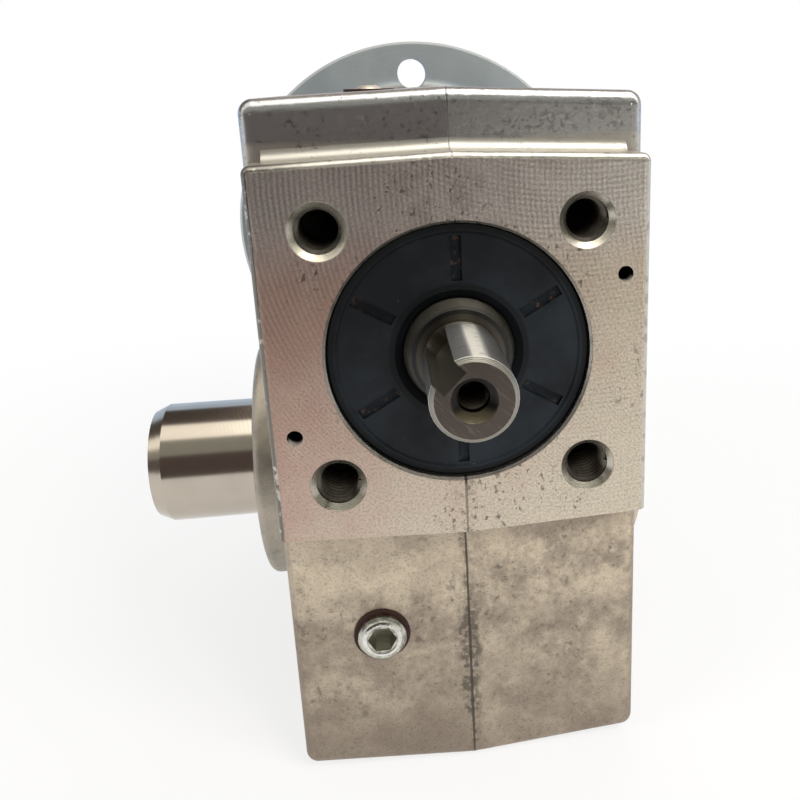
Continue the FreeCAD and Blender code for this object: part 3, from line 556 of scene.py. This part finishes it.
def bell_finish(tones, case):
    """The motor bell: grey turned flange with a pale rim, and a cast neck."""
    flange_dull = (0.255, 0.285, 0.30)
    groove = (0.12, 0.13, 0.14)
    pale_rim = (0.52, 0.54, 0.54)
    finish = Finish("cast_motor_bell")
    step, mix = finish.step, finish.mix
    skin, rough, relief = cast_skin(finish, case)[:3]
    skin = mix(0.8, skin, tones.neck_grey)
    axis = far(finish.x, finish.z - worm_height)
    centre = finish.moved(finish.place, shift=(0, 0, -worm_height))
    turned = finish.rings(centre, 0.0007, "Y", 0.5)
    satin = finish.noise(finish.place, 55.0, 4.0, 0.6)
    flange = step(finish.y, 0.0972, 0.0978)
    face = mix(step(satin, 0.35, 0.70), flange_dull, tones.flange_grey)
    face = mix((1.0 - turned) * 0.05, face, groove)
    rim = step(axis, 0.0590, 0.0594)
    face = mix(rim * 0.8, face, pale_rim)
    skin = mix(flange, skin, face)
    normal = finish.bump(relief * (1.0 - flange) + turned * flange * 0.2, 0.00010)
    return finish.done(base_color=skin, roughness=rough * (1.0 - flange) + flange * (0.38 + satin * 0.12),
                       metallic=0.75 - 0.40 * flange, normal=normal)


def fibre_finish(name, tone):
    """Pressed fibre with short pale hairs."""
    finish = Finish(name)
    hairs = finish.noise(finish.moved(finish.place, scale=(1, 0.3, 1)), 900.0, 5.0, 0.7, 1.0)
    pale = finish.mix(finish.step(hairs, 0.5, 0.75) * 0.5, tone, tuple(min(1.0, 2.1 * c) for c in tone))
    return finish.done(base_color=pale, roughness=0.6 + 0.25 * hairs, normal=finish.bump(hairs, 0.00004))


def worm_finish(tones):
    """The worm shaft: ground along its length, with a darker keyway, a turned end, a centre hole darkened
    with painted shade and a painted glint, and a painted highlight and shade on its exposed end.
    """
    top_highlight_steel = (0.60, 0.58, 0.545)
    flank_shade_steel = (0.12, 0.123, 0.13)
    score = (0.05, 0.05, 0.053)
    collar_steel = (0.115, 0.107, 0.088)
    dark_shoulder = (0.062, 0.061, 0.058)
    root_ring = (0.15, 0.142, 0.12)
    darker_slot_steel = (0.13, 0.125, 0.105)
    end_dark = (0.135, 0.112, 0.097)
    end_light = (0.22, 0.187, 0.163)
    chamfer_steel = (0.30, 0.295, 0.26)
    chamfer_edge_highlight = (0.80, 0.79, 0.74)
    hole_shade = (0.022, 0.022, 0.026)
    glint_tone = (0.50, 0.43, 0.29)
    collar_reach = 0.0598
    finish = Finish("ground_worm_shaft")
    step, mix = finish.step, finish.mix
    x, y, z, place = finish.x, finish.y, finish.z, finish.place
    axis = far(x, z - worm_height)
    ground = finish.rings(place, 0.00022, "Y", 0.3, kind="BANDS")
    streak = finish.noise(finish.moved(place, scale=(90, 900, 90)), 1.0, 4.0, 0.65)
    film = finish.noise(place, 130.0, 4.0, 0.6)
    steel = mix(step(film, 0.40, 0.68) * 0.30, tones.ground, scaled(tones.ground, 0.72))
    steel = mix(step(streak, 0.62, 0.76) * 0.35, steel, tones.oiled)
    # The keyway points up and to the left
    diagonal = 0.70711
    along = (z - worm_height - x) * diagonal
    aside = abs(z - worm_height + x)
    slot = step(aside, 0.00362, 0.00350) * step(along, 0.0030, 0.0036) * step(axis, 0.00690, 0.00675)
    slot = slot * step(y, -0.0600, -0.0606)
    # Bare end of the shaft, with a painted highlight along its top and painted shade on its flanks, and
    # scored marks
    neck = step(y, -0.0602, -0.0606) * step(axis, 0.0066, 0.0068)
    scored = step(finish.noise(finish.moved(place, scale=(380, 1500, 260)), 1.0, 3.0, 0.6), 0.52, 0.60)
    flank_shade_and_scores = step(x, 0.0016, 0.0030).most(step(x, 0.0008, 0.0018) * scored * 0.7)
    flank_shade_and_scores = flank_shade_and_scores.most(step(x, 0.0003, -0.0007) * 0.95).most(step(y, -0.0680, -0.0620) * scored)
    steel = mix(neck, steel, top_highlight_steel)
    steel = mix(neck * flank_shade_and_scores * 0.9, steel, mix(scored * 0.7, flank_shade_steel, score))
    # Collar behind it, with a dark shoulder and a paler ring round the shaft's root
    collar = step(y, -0.0606, -0.0602) * step(y, -0.0520, -0.0540)
    steel = mix(collar * 0.95, steel, collar_steel)
    shoulder = collar * step(y, -0.0595, -0.0597)
    steel = mix(shoulder, steel, dark_shoulder)
    steel = mix(shoulder * step(abs(axis - 0.0075), 0.0006, 0.0002) * 0.8, steel, root_ring)
    # The keyway is darker than the steel round it
    steel = mix(slot * 0.85, steel, darker_slot_steel)
    # Turned end face, pale chamfer with painted highlights along its edges, centre hole darkened with painted
    # shade, and a painted golden glint on its countersink's lower side
    centre = finish.moved(place, shift=(0, 0, -worm_height))
    turned = finish.strokes(centre, -0.8, 240, 2600)
    end = step(y, -0.08252, -0.08258)
    face = mix(step(turned, 0.50, 0.78), end_dark, end_light)
    steel = mix(end, steel, face)
    chamfer = step(y, -0.0817, -0.0819) * (1.0 - end) * step(axis, 0.0060, 0.0062)
    steel = mix(chamfer * 0.8, steel, chamfer_steel)
    # Painted highlight: near-white lines along the chamfer's edges
    edge = step(abs(axis - 0.00655), 0.00030, 0.00042) * chamfer
    steel = mix(edge * 0.8, steel, chamfer_edge_highlight)
    # Painted shade: the centre hole is near black inside
    hole = step(axis, 0.0040, 0.0035) * step(y, -0.0600, -0.0650) * (1.0 - end)
    steel = mix(hole * 0.9, steel, hole_shade)
    # Painted glint: a golden tone on the lower side of the countersink
    golden = step(y, -0.0803, -0.0807) * step(axis, 0.0039, 0.0037) * (1.0 - end)
    golden = golden * step(z, worm_height - 0.0014, worm_height - 0.0027)
    steel = mix(golden * 0.8, steel, glint_tone)
    # Darker steel in the corner where the collar meets the shaft
    corner = step(abs(y + collar_reach), 0.0016, 0.0003) * step(axis, 0.0074, 0.0070)
    steel = mix(corner * 0.6, steel, tones.oiled)
    lip = step(axis, 0.0086, 0.0091) * step(y, -0.0590, -0.0596)
    rough = 0.27 + 0.12 * streak + 0.04 * end + 0.10 * slot
    normal = finish.bump(ground * (1.0 - end) * (1.0 - 0.7 * slot) + turned * end * 0.1 - lip * 6.0, 0.000050)
    return finish.done(base_color=steel, roughness=rough, metallic=1.0, normal=normal)


def output_finish(tones):
    """The output shaft: a polished stub with a bright chamfer, and a bored inside."""
    polished = (0.52, 0.465, 0.395)
    filmed = (0.39, 0.345, 0.29)
    finish = Finish("polished_output_shaft")
    step, mix = finish.step, finish.mix
    x, place = finish.x, finish.place
    axis = far(finish.y, finish.z)
    lines = finish.rings(place, 0.00030, "X", 1.2, kind="BANDS")
    film = finish.noise(place, 95.0, 4.0, 0.6)
    steel = mix(step(film, 0.42, 0.70) * 0.22, polished, filmed)
    steel = mix((1.0 - lines) * 0.07, steel, tones.oiled)
    bored = step(axis, 0.0099, 0.0096) * step(abs(x + 0.0127), 0.0560, 0.0555)
    steel = mix(bored * 0.55, steel, tones.oiled)
    chamfer = step(x, -0.0657, -0.0659)
    rough = 0.12 + 0.08 * film + 0.10 * bored + 0.03 * chamfer
    return finish.done(base_color=steel, roughness=rough, metallic=1.0, normal=finish.bump(lines, 0.000004))


def bronze_finish(tones):
    """The wheel rim: cast bronze with freshly cut, oiled teeth."""
    finish = Finish("cut_bronze_rim")
    cloud = finish.noise(finish.place, 120.0, 4.0, 0.6)
    lines = finish.rings(finish.place, 0.00035, "X", 0.8)
    tone = finish.mix(finish.step(cloud, 0.35, 0.72), scaled(tones.bronze, 0.72), tones.bronze)
    tone = finish.mix((1.0 - lines) * 0.12, tone, tones.oiled)
    return finish.done(base_color=tone, roughness=0.26 + 0.14 * cloud, metallic=1.0,
                       normal=finish.bump(lines, 0.000006))


def metal_finish(name, tone, rough, scale=160.0, worn=0.25):
    """A plain metal with faint wear and handling marks."""
    finish = Finish(name)
    cloud = finish.noise(finish.place, scale, 5.0, 0.62)
    marks = finish.noise(finish.place, scale * 7.0, 3.0, 0.6)
    shade = finish.step(cloud * 0.7 + marks * 0.3, 0.34, 0.66)
    tone_now = finish.mix(shade, scaled(tone, 1.0 - worn), tone)
    return finish.done(base_color=tone_now, roughness=rough * 0.8 + rough * 0.4 * marks, metallic=1.0,
                       normal=finish.bump(marks, 0.000010))


def plug_finish():
    """The front oil plug: a bruised grey face and a pale socket."""
    bruised_dark = (0.33, 0.325, 0.285)
    bruised_light = (0.62, 0.61, 0.54)
    pale_socket = (0.62, 0.63, 0.54)
    finish = Finish("plated_front_plug")
    step, mix = finish.step, finish.mix
    axis = far(finish.x - plug_place[0], finish.z - plug_place[1])
    bruise = finish.noise(finish.place, 900.0, 4.0, 0.6)
    socket = step(axis, 0.0032, 0.0029) * step(finish.y, plug_face + 0.0002, plug_face + 0.0008)
    tone = mix(step(bruise, 0.40, 0.62), bruised_dark, bruised_light)
    tone = mix(socket * 0.8, tone, pale_socket)
    return finish.done(base_color=tone, roughness=0.26 + 0.12 * bruise, metallic=1.0,
                       normal=finish.bump(bruise, 0.00005))


def seal_finish(tones):
    """Black shaft seals with painted shading, and rusty dirt in the slots of the front one."""
    shaded_rim = (0.002, 0.0022, 0.0026)
    pale_dust = (0.16, 0.15, 0.14)
    finish = Finish("nitrile_seals")
    step, mix = finish.step, finish.mix
    y = finish.y
    axis = far(finish.x, finish.z - worm_height)
    haze = finish.noise(finish.place, 85.0, 5.0, 0.6)
    # Painted shading mixed with random haze: the rubber darkens towards the upper left and pales towards the
    # lower right
    haze_and_shading = haze + (finish.x - finish.z + worm_height) * 4.0
    rubber = mix(step(haze_and_shading, 0.36, 0.72), scaled(tones.seal, 0.5), scaled(tones.seal, 1.45))
    rims = step(axis, 0.0128, 0.0124).most(step(axis, 0.0220, 0.0224))
    rubber = mix(rims * 0.7, rubber, shaded_rim)
    crumbs = finish.noise(finish.place, 520.0, 5.0, 0.7)
    slot = step(y, -0.0566, -0.0562) * step(y, -0.0540, -0.0550) * step(axis, 0.0128, 0.0132)
    slot = slot * step(axis, 0.0214, 0.0210)
    rubber = mix(slot * step(crumbs, 0.54, 0.68) * 0.5, rubber, tones.dirt)
    dust = step(finish.noise(finish.place, 1500.0, 2.0, 0.5), 0.73, 0.80)
    rubber = mix(dust * 0.25, rubber, pale_dust)
    rough = 0.42 + 0.14 * haze + 0.25 * slot
    return finish.done(base_color=rubber, roughness=rough, specular_ior_level=0.22,
                       normal=finish.bump(haze * 0.3 + crumbs * slot, 0.00005))


def rubber_ring_finish():
    """Black rubber of the ring between the housing and its side cover."""
    black = (0.012, 0.012, 0.012)
    hazy = (0.03, 0.03, 0.03)
    finish = Finish("rubber_cover_ring")
    haze = finish.noise(finish.place, 300.0, 4.0, 0.6)
    tone = finish.mix(haze, black, hazy)
    return finish.done(base_color=tone, roughness=0.45 + 0.2 * haze)


def select(piece, wanted):
    """Selects the vertices of a piece, in edit mode, by their place."""
    bpy.ops.mesh.select_all(action="DESELECT")
    bpy.ops.object.mode_set(mode="OBJECT")
    for vertex in piece.data.vertices:
        vertex.select = wanted(vertex.co)
    bpy.ops.object.mode_set(mode="EDIT")


def thread_ridge(name, root, crest, pitch, turns):
    """A thread's ridge on the wall of a hole along Y: a tapered profile wound round the axis."""
    root_width = pitch * 0.92
    crest_share = 0.16
    steps_to_turn = 40
    middle = (root + crest) / 2
    bpy.ops.object.select_all(action="DESELECT")
    bpy.ops.mesh.primitive_plane_add(size=1.0, location=(0, 0, 0))
    piece = bpy.context.active_object
    piece.name = piece.data.name = name
    bpy.ops.object.mode_set(mode="EDIT")
    bpy.ops.mesh.select_mode(type="VERT")
    bpy.ops.transform.resize(value=(root - crest, root_width, 1.0), center_override=(0, 0, 0))
    bpy.ops.transform.translate(value=(middle, 0, 0))
    select(piece, lambda at: at.x < middle)
    bpy.ops.transform.resize(value=(1.0, crest_share, 1.0), center_override=(crest, 0, 0))
    bpy.ops.mesh.select_all(action="SELECT")
    bpy.ops.mesh.delete(type="ONLY_FACE")
    bpy.ops.object.mode_set(mode="OBJECT")
    wind = piece.modifiers.new("wind", "SCREW")
    wind.axis = "Y"
    wind.screw_offset = pitch
    wind.iterations = turns
    wind.steps = wind.render_steps = steps_to_turn
    wind.use_merge_vertices = False
    bpy.ops.object.modifier_apply(modifier="wind")
    bpy.ops.object.mode_set(mode="EDIT")
    bpy.ops.mesh.select_all(action="SELECT")
    bpy.ops.mesh.fill_holes(sides=4)
    bpy.ops.mesh.select_all(action="SELECT")
    bpy.ops.mesh.normals_make_consistent(inside=False)
    bpy.ops.object.mode_set(mode="OBJECT")
    bpy.ops.object.shade_smooth_by_angle(angle=math.radians(35))
    return piece


def settle(piece, place, body, material):
    """Moves a piece's mesh to its place and lets it ride on a body."""
    piece.data.transform(Matrix.Translation(Vector(place)))
    piece.data.materials.clear()
    piece.data.materials.append(material)
    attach(piece, body)


def copied(piece, name):
    """A copy of a piece with a mesh of its own."""
    twin = piece.copy()
    twin.data = piece.data.copy()
    twin.name = twin.data.name = name
    bpy.context.scene.collection.objects.link(twin)
    return twin


def at_corners(first, name, offset, depth, material):
    """Sets a piece and three copies of it round the worm's axis, at the corners of a square."""
    corners = [(side * offset, worm_height + rise * offset) for side in (-1, 1) for rise in (-1, 1)]
    for number, (x, z) in enumerate(corners, 1):
        piece = first if number == len(corners) else copied(first, "corner_copy")
        piece.name = piece.data.name = f"{name}_{number}"
        settle(piece, (x, depth, z), "gearbox", material)


class ReducerStep:
    """What all the steps share."""

    bl_options = {"REGISTER", "UNDO"}


class REDUCER_OT_dress_case(ReducerStep, bpy.types.Operator):
    """Finish the cast housing and its side cover"""

    bl_idname = "reducer.dress_case"
    bl_label = "Dress Case"

    def execute(self, context):
        tones = context.scene.reducer_case
        dress(case_finish(tones), "housing")
        dress(cover_finish(tones), "side_cover")
        return {"FINISHED"}


class REDUCER_OT_dress_bell(ReducerStep, bpy.types.Operator):
    """Finish the motor bell and its gasket"""

    bl_idname = "reducer.dress_bell"
    bl_label = "Dress Motor Bell"

    def execute(self, context):
        tones = context.scene.reducer_bell
        dress(bell_finish(tones, context.scene.reducer_case), "motor_bell")
        dress(fibre_finish("pressed_fibre_gasket", tones.gasket), "motor_bell_gasket")
        return {"FINISHED"}


class REDUCER_OT_dress_shafts(ReducerStep, bpy.types.Operator):
    """Finish the worm shaft, the output shaft and the bronze wheel rim"""

    bl_idname = "reducer.dress_shafts"
    bl_label = "Dress Shafts and Wheel"

    def execute(self, context):
        tones = context.scene.reducer_steel
        dress(worm_finish(tones), "worm_shaft")
        dress(output_finish(tones), "output_shaft")
        dress(bronze_finish(tones), "worm_wheel_rim")
        return {"FINISHED"}


class REDUCER_OT_dress_bearings(ReducerStep, bpy.types.Operator):
    """Finish the rings, balls and cages of the four bearings"""

    bl_idname = "reducer.dress_bearings"
    bl_label = "Dress Bearings"

    def execute(self, context):
        tones = context.scene.reducer_steel
        ring = metal_finish("ground_bearing_rings", tones.bearing, 0.22)
        ball = metal_finish("polished_balls", tones.bearing, 0.10, 60.0, 0.08)
        cage = metal_finish("pressed_ball_cages", tones.cage, 0.36)
        for end in ("front", "rear", "left", "right"):
            dress(ring, f"{end}_bearing_outer_ring", f"{end}_bearing_inner_ring")
            dress(ball, f"{end}_bearing_balls")
            dress(cage, f"{end}_bearing_cage")
        return {"FINISHED"}


class REDUCER_OT_dress_seals(ReducerStep, bpy.types.Operator):
    """Finish the shaft seals and the ring of the side cover"""

    bl_idname = "reducer.dress_seals"
    bl_label = "Dress Seals"

    def execute(self, context):
        dress(seal_finish(context.scene.reducer_rubber), "front_seal", "rear_seal", "left_seal", "right_seal")
        dress(rubber_ring_finish(), "side_cover_ring")
        return {"FINISHED"}


class REDUCER_OT_dress_fasteners(ReducerStep, bpy.types.Operator):
    """Finish the screws and the retaining rings"""

    bl_idname = "reducer.dress_fasteners"
    bl_label = "Dress Screws and Rings"

    def execute(self, context):
        tones = context.scene.reducer_steel
        dress(metal_finish("blackened_screws", tones.blued, 0.42, 220.0, 0.35),
              "side_cover_screws", "motor_bell_screws", "wheel_rim_screws")
        dress(metal_finish("spring_steel_rings", tones.blued, 0.34, 180.0, 0.3),
              "front_circlip", "rear_circlip")
        return {"FINISHED"}


class REDUCER_OT_dress_plugs(ReducerStep, bpy.types.Operator):
    """Finish the two oil plugs and the rings under them"""

    bl_idname = "reducer.dress_plugs"
    bl_label = "Dress Oil Plugs"

    def execute(self, context):
        plated = context.scene.reducer_steel.plated
        dress(plug_finish(), "front_oil_plug")
        dress(metal_finish("plated_top_plug", plated, 0.45, 260.0, 0.15), "top_oil_plug")
        dress(fibre_finish("brown_fibre_rings", context.scene.reducer_rubber.plug_ring),
              "front_plug_ring", "top_plug_ring")
        return {"FINISHED"}


class REDUCER_OT_turn_plug_bead(ReducerStep, bpy.types.Operator):
    """Add the rounded bead round the socket of the front oil plug"""

    bl_idname = "reducer.turn_plug_bead"
    bl_label = "Turn Plug Bead"

    def execute(self, context):
        sizes = context.scene.reducer_detail
        bpy.ops.object.select_all(action="DESELECT")
        bpy.ops.mesh.primitive_torus_add(major_segments=96, minor_segments=16, major_radius=sizes.bead_radius,
                                         minor_radius=sizes.bead_width, rotation=(math.pi / 2, 0, 0))
        piece = bpy.context.active_object
        piece.name = piece.data.name = "front_plug_bead"
        bpy.ops.object.transform_apply(location=False, rotation=True, scale=False)
        bpy.ops.object.mode_set(mode="EDIT")
        bpy.ops.mesh.select_all(action="SELECT")
        flat = sizes.bead_height / sizes.bead_width
        bpy.ops.transform.resize(value=(1.0, flat, 1.0), center_override=(0, 0, 0))
        select(piece, lambda at: at.y < 0 and far(at.x, at.z) > sizes.bead_radius)
        bpy.ops.transform.translate(value=(0, sizes.bead_height * 0.35, 0))
        bpy.ops.object.mode_set(mode="OBJECT")
        bpy.ops.object.shade_smooth()
        steel = metal_finish("plated_plug_bead", context.scene.reducer_steel.bead, 0.20, 700.0, 0.35)
        settle(piece, (plug_place[0], plug_face, plug_place[1]), "gearbox", steel)
        return {"FINISHED"}


class REDUCER_OT_knurl_screw_heads(ReducerStep, bpy.types.Operator):
    """Add the knurls on the heads of the bell's screws"""

    bl_idname = "reducer.knurl_screw_heads"
    bl_label = "Knurl Screw Heads"

    def execute(self, context):
        sizes = context.scene.reducer_detail
        bpy.ops.object.select_all(action="DESELECT")
        bpy.ops.mesh.primitive_cylinder_add(vertices=4 * sizes.knurl_ridges, radius=sizes.head_radius,
                                            depth=sizes.head_length, end_fill_type="NOTHING",
                                            rotation=(math.pi / 2, 0, 0))
        first = bpy.context.active_object
        first.name = first.data.name = "bell_screw_knurl"
        bpy.ops.object.transform_apply(location=False, rotation=True, scale=False)
        bpy.ops.object.mode_set(mode="EDIT")
        # Half of every step round the head stands out as a ridge
        step = 2 * math.pi / sizes.knurl_ridges
        select(first, lambda at: (math.atan2(at.z, at.x) + step / 8) % step < step / 2)
        swell = 1.0 + sizes.knurl_depth / sizes.head_radius
        bpy.ops.transform.resize(value=(swell, 1.0, swell), center_override=(0, 0, 0))
        bpy.ops.object.mode_set(mode="OBJECT")
        wall = first.modifiers.new("wall", "SOLIDIFY")
        wall.thickness = sizes.knurl_depth
        wall.offset = -1.0
        bpy.ops.object.modifier_apply(modifier="wall")
        steel = metal_finish("blackened_knurls", context.scene.reducer_steel.blued, 0.42, 220.0, 0.35)
        middle = bell_screw_seat + knurl_gap + sizes.head_length / 2
        at_corners(first, "bell_screw_knurl", bell_screw_offset, middle, steel)
        return {"FINISHED"}


class REDUCER_OT_cut_bolt_threads(ReducerStep, bpy.types.Operator):
    """Add the threads in the four holes of the front pad"""

    bl_idname = "reducer.cut_bolt_threads"
    bl_label = "Cut Bolt Threads"

    def execute(self, context):
        sizes = context.scene.reducer_thread
        steel = metal_finish("oily_tapped_holes", context.scene.reducer_case.tapped, 0.34, 300.0, 0.5)
        first = thread_ridge("front_thread", bolt_thread_root, sizes.bolt_crest, sizes.bolt_pitch,
                             sizes.bolt_turns)
        at_corners(first, "front_thread", bolt_offset, pad_face + bolt_thread_depth, steel)
        return {"FINISHED"}


class REDUCER_OT_cut_end_thread(ReducerStep, bpy.types.Operator):
    """Add the thread in the centre hole of the input shaft"""

    bl_idname = "reducer.cut_end_thread"
    bl_label = "Cut Shaft End Thread"

    def execute(self, context):
        sizes = context.scene.reducer_thread
        oily = context.scene.reducer_steel.end_thread
        steel = metal_finish("oily_shaft_end_thread", oily, 0.32, 300.0, 0.5)
        piece = thread_ridge("shaft_end_thread", end_thread_root, sizes.end_crest, sizes.end_pitch,
                             sizes.end_turns)
        settle(piece, (0, end_thread_start, worm_height), "worm", steel)
        return {"FINISHED"}


class REDUCER_OT_set_stage(ReducerStep, bpy.types.Operator):
    """Add the floor, the light tent, the lamps and the camera"""

    bl_idname = "reducer.set_stage"
    bl_label = "Set Stage"

    def execute(self, context):
        scene = context.scene
        tones = scene.reducer_stage
        scene.view_settings.view_transform = "Standard"
        self.floor(tones)
        self.world(scene)
        self.tent(tones)
        self.lamps()
        self.camera(scene, tones)
        return {"FINISHED"}

    def floor(self, tones):
        """A pale floor that keeps the shadow and shows as white further out."""
        bpy.ops.object.select_all(action="DESELECT")
        bpy.ops.mesh.primitive_plane_add(size=6.0, location=(0, 0, cad_box[0].z - floor_gap))
        floor = bpy.context.active_object
        floor.name = "floor"
        paint = Finish("pale_floor")
        seen = paint.add("ShaderNodeLightPath", out="Is Camera Ray")
        seen = seen.most(seen.other("Is Glossy Ray")).most(seen.other("Is Transmission Ray"))
        seen = seen * (0.76 + 0.24 * paint.step(far(paint.x, paint.y), 0.12, 0.42))
        matt = paint.add("ShaderNodeBsdfDiffuse", {}, {"Color": (*tones.floor, 1.0)}, out="BSDF")
        glow = paint.add("ShaderNodeEmission", {}, {"Color": (1, 1, 1, 1), "Strength": 1.0}, out="Emission")
        both = paint.add("ShaderNodeMixShader", {}, {0: seen, 1: matt, 2: glow}, out="Shader")
        paint.add("ShaderNodeOutputMaterial", {}, {"Surface": both})
        floor.data.materials.append(paint.material)

    def world(self, scene):
        """Soft light from all round, white where it is seen."""
        world = bpy.data.worlds.new("soft_room")
        world.use_nodes = True
        scene.world = world
        paint = Paint(world.node_tree)
        seen = paint.add("ShaderNodeLightPath", out="Is Camera Ray")
        seen = seen.most(seen.other("Is Glossy Ray")).most(seen.other("Is Transmission Ray"))
        soft = paint.add("ShaderNodeBackground", {}, {"Color": (0.92, 0.96, 1.0, 1.0), "Strength": 0.36})
        white = paint.add("ShaderNodeBackground", {}, {"Color": (1, 1, 1, 1), "Strength": 1.0})
        both = paint.add("ShaderNodeMixShader", {}, {0: seen, 1: soft, 2: white})
        paint.add("ShaderNodeOutputWorld", {}, {"Surface": both})

    def tent(self, tones):
        """A light tent along X, which only metal and gloss see."""
        bpy.ops.object.select_all(action="DESELECT")
        bpy.ops.mesh.primitive_cylinder_add(vertices=96, radius=0.32, depth=2.4, end_fill_type="NOTHING",
                                            rotation=(0, math.pi / 2, 0))
        tent = bpy.context.active_object
        tent.name = "light_tent"
        bpy.ops.object.transform_apply(location=False, rotation=True, scale=False)
        paint = Finish("tent_cloth")
        turn = paint.y.math("ARCTAN2", paint.y, paint.z)
        rising = paint.step(turn, math.radians(-86), math.radians(-74))
        right = paint.step(paint.x, 0.02, 0.11) * (1.0 - 0.8 * rising)
        tone = paint.mix(right, tones.tent_front, tones.tent_right)
        bright = paint.step(paint.x, -0.005, 0.03) * paint.step(paint.x, 0.24, 0.16)
        past_stub = paint.step(paint.x, -0.10, -0.085)
        lamp = paint.mix(past_stub, tones.tent_lamp, scaled(tones.tent_lamp, 1.7))
        lamp = paint.mix(bright, lamp, scaled(tones.tent_lamp, 3.2))
        top = paint.mix(past_stub, tones.tent_top, scaled(tones.tent_top, 5.0))
        for edge, after in ((-57, tones.tent_upper), (-26, lamp), (6, top), (51, tones.tent_back)):
            tone = paint.mix(paint.step(turn, math.radians(edge - 3), math.radians(edge + 3)), tone, after)
        glow = paint.add("ShaderNodeEmission", {}, {"Color": tone, "Strength": 1.6}, out="Emission")
        paint.add("ShaderNodeOutputMaterial", {}, {"Surface": glow})
        tent.data.materials.append(paint.material)
        tent.visible_camera = tent.visible_diffuse = tent.visible_shadow = False

    def lamps(self):
        """Four soft lamps aimed at the reducer."""
        target = Vector((0.0, 0.0, 0.02))
        for name, place, size, power, tone in (
                ("key_light", (0.55, -0.65, 0.75), 0.55, 9.0, (1.0, 0.97, 0.92)),
                ("side_light", (-0.8, -0.35, 0.35), 0.5, 4.0, (1.0, 0.95, 0.9)),
                ("low_light", (0.25, -0.8, 0.05), 0.4, 2.5, (1.0, 0.95, 0.88)),
                ("back_light", (0.2, 0.9, 0.6), 0.7, 6.0, (0.95, 0.98, 1.0))):
            bpy.ops.object.light_add(type="AREA", location=place)
            lamp = bpy.context.active_object
            lamp.name = name
            lamp.data.size = size
            lamp.data.energy = power
            lamp.data.color = tone
            lamp.visible_glossy = False
            aim = target - Vector(place)
            lamp.rotation_euler = aim.to_track_quat("-Z", "Y").to_euler()

    def camera(self, scene, tones):
        """The camera at the photograph's angle and framing."""
        bpy.ops.object.camera_add(location=(-0.011509, -0.20754, 0.085637))
        camera = bpy.context.active_object
        camera.name = "camera"
        right = Vector((0.9882174, -0.1515097, -0.0217067))
        ahead = Vector((0.1391441, 0.9483885, -0.2849530))
        over = Vector((0.0637595, 0.2785752, 0.9582957))
        turn = Matrix((right, over, -ahead)).transposed()
        camera.rotation_euler = turn.to_euler()
        camera.data.lens = tones.lens
        camera.data.sensor_width = 36.0
        camera.data.shift_x = -0.1481
        camera.data.shift_y = -0.0661
        camera.data.clip_start, camera.data.clip_end = 0.01, 20.0
        scene.camera = camera


class REDUCER_PT_panel(bpy.types.Panel):
    """Settings and steps of the reducer"""

    bl_idname = "REDUCER_PT_panel"
    bl_label = "Worm Gear Reducer"
    bl_space_type = "VIEW_3D"
    bl_region_type = "UI"
    bl_category = "Reducer"

    def draw(self, context):
        layout = self.layout
        for step in steps:
            layout.operator(step.bl_idname)
        for name in settings:
            group = getattr(context.scene, name)
            box = layout.box()
            box.label(text=group.bl_rna.description)
            for key in group.__annotations__:
                box.prop(group, key)


settings = {
    "reducer_case": CaseSettings,
    "reducer_bell": BellSettings,
    "reducer_steel": SteelSettings,
    "reducer_rubber": RubberSettings,
    "reducer_thread": ThreadSettings,
    "reducer_detail": DetailSettings,
    "reducer_stage": StageSettings,
}
steps = (
    REDUCER_OT_dress_case,
    REDUCER_OT_dress_bell,
    REDUCER_OT_dress_shafts,
    REDUCER_OT_dress_bearings,
    REDUCER_OT_dress_seals,
    REDUCER_OT_dress_fasteners,
    REDUCER_OT_dress_plugs,
    REDUCER_OT_turn_plug_bead,
    REDUCER_OT_knurl_screw_heads,
    REDUCER_OT_cut_bolt_threads,
    REDUCER_OT_cut_end_thread,
    REDUCER_OT_set_stage,
)


def register():
    for group in settings.values():
        bpy.utils.register_class(group)
    for step in steps:
        bpy.utils.register_class(step)
    bpy.utils.register_class(REDUCER_PT_panel)
    for name, group in settings.items():
        setattr(bpy.types.Scene, name, bpy.props.PointerProperty(type=group))


def unregister():
    for name in settings:
        delattr(bpy.types.Scene, name)
    bpy.utils.unregister_class(REDUCER_PT_panel)
    for step in reversed(steps):
        bpy.utils.unregister_class(step)
    for group in reversed(settings.values()):
        bpy.utils.unregister_class(group)


def main():
    """Runs every step."""
    register()
    bpy.ops.reducer.dress_case()
    bpy.ops.reducer.dress_bell()
    bpy.ops.reducer.dress_shafts()
    bpy.ops.reducer.dress_bearings()
    bpy.ops.reducer.dress_seals()
    bpy.ops.reducer.dress_fasteners()
    bpy.ops.reducer.dress_plugs()
    bpy.ops.reducer.turn_plug_bead()
    bpy.ops.reducer.knurl_screw_heads()
    bpy.ops.reducer.cut_bolt_threads()
    bpy.ops.reducer.cut_end_thread()
    bpy.ops.reducer.set_stage()


if __name__ == "__main__":
    main()
